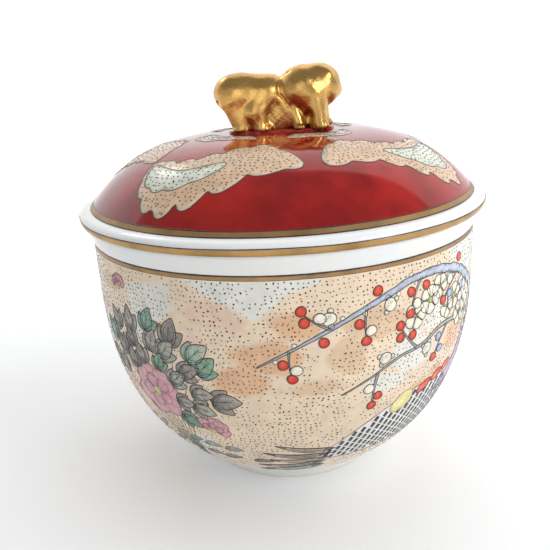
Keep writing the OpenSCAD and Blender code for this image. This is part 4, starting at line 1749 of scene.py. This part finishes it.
def build_sweep():
    """Floor that curves up into a wall behind the bowl."""
    half, bend_y, bend_r = 7.0, 0.8, 0.6
    wall_y = bend_y + bend_r
    profile = [(-half, 0.0)] + [(y, 0.0) for y in np.linspace(-1.5, bend_y, 12)]
    profile += [(bend_y + bend_r * math.sin(turn), bend_r - bend_r * math.cos(turn))
                for turn in np.linspace(0.1, math.pi / 2, 14)]
    profile += [(wall_y, 1.2), (wall_y, 3.0)]
    verts = [(x, y, z) for y, z in profile for x in (-half, half)]
    faces = [(2 * i, 2 * i + 1, 2 * i + 3, 2 * i + 2) for i in range(len(profile) - 1)]
    mesh = bpy.data.meshes.new("sweep")
    mesh.from_pydata(verts, [], faces)
    mesh.polygons.foreach_set("use_smooth", np.ones(len(mesh.polygons), bool))
    floor = add_object("sweep", mesh)
    mesh.materials.append(sweep_paper())


def build_world():
    """Soft sky light, and a plain pale room where the camera sees past the floor."""
    world = bpy.data.worlds.new("sky")
    bpy.context.scene.world = world
    nodes = Nodes(world)
    coord = nodes.add("TexCoord").outputs["Generated"]
    up = nodes.add("SeparateXYZ", {0: coord}).outputs[2]
    strength = nodes.remap(up, 0.1, 0.75, 0.55, 0.28, interpolation_type="SMOOTHSTEP")
    sky = nodes.add("Background", {0: (0.94, 0.97, 1.0), 1: strength})
    room = nodes.add("Background", {0: (0.95, 0.96, 0.96)})
    seen = nodes.add("LightPath").outputs["Is Camera Ray"]
    both = nodes.add("MixShader", {0: seen, 1: sky.outputs[0], 2: room.outputs[0]})
    nodes.add("OutputWorld", {0: both.outputs[0]})


def area(name, place, size, power, colour, size_y=None, glossy=True):
    """An area light aimed at the middle of the bowl."""
    light = bpy.data.lights.new(name, "AREA")
    light.energy = power
    light.color = colour
    light.shape = "RECTANGLE" if size_y else "SQUARE"
    light.size = size
    if size_y:
        light.size_y = size_y
    lamp = add_object(name, light)
    lamp.location = place
    aim = Vector((0, 0, 0.08)) - Vector(place)
    lamp.rotation_euler = aim.to_track_quat("-Z", "Y").to_euler()
    if not glossy:
        lamp.visible_glossy = False


def build_camera():
    pan, tilt, roll = -0.0157, 0.3147, 0.0578       # radians
    forward = Vector((math.sin(pan) * math.cos(tilt), math.cos(pan) * math.cos(tilt),
                      -math.sin(tilt)))
    level_right = Vector((math.cos(pan), -math.sin(pan), 0))
    level_down = forward.cross(level_right)
    right = math.cos(roll) * level_right + math.sin(roll) * level_down
    down = -math.sin(roll) * level_right + math.cos(roll) * level_down
    lens = bpy.data.cameras.new("camera")
    camera = add_object("camera", lens)
    turn = Matrix((right, -down, -forward)).transposed().to_4x4()
    camera.matrix_world = Matrix.Translation((0, -0.26439, 0.156313)) @ turn
    lens.sensor_fit = "HORIZONTAL"
    lens.sensor_width = 36.0
    lens.lens = 45.818182
    lens.clip_start = 0.01
    bpy.context.scene.camera = camera


build_sweep()
build_world()
area("window", (0.75, -0.15, 0.62), size=0.75, power=5.0, colour=(0.96, 0.98, 1.0), glossy=False)
area("overhead", (0.05, 0.25, 0.95), size=0.7, power=2.7, colour=(1.0, 0.99, 0.97), glossy=False)
area("pane_right", (0.60, -0.52, 0.40), size=0.24, power=1.8, colour=(1.0, 0.99, 0.97),
     size_y=0.40)
area("pane_back_left", (-0.36, 0.50, 0.60), size=0.12, power=0.30, colour=(1.0, 0.98, 0.94))
area("paper_front", (-0.1, -0.85, 0.35), size=0.6, power=0.85, colour=(1.0, 0.98, 0.95))
build_camera()
view = bpy.context.scene.view_settings
view.view_transform = "Standard"
view.look = "None"
view.exposure = 0.0
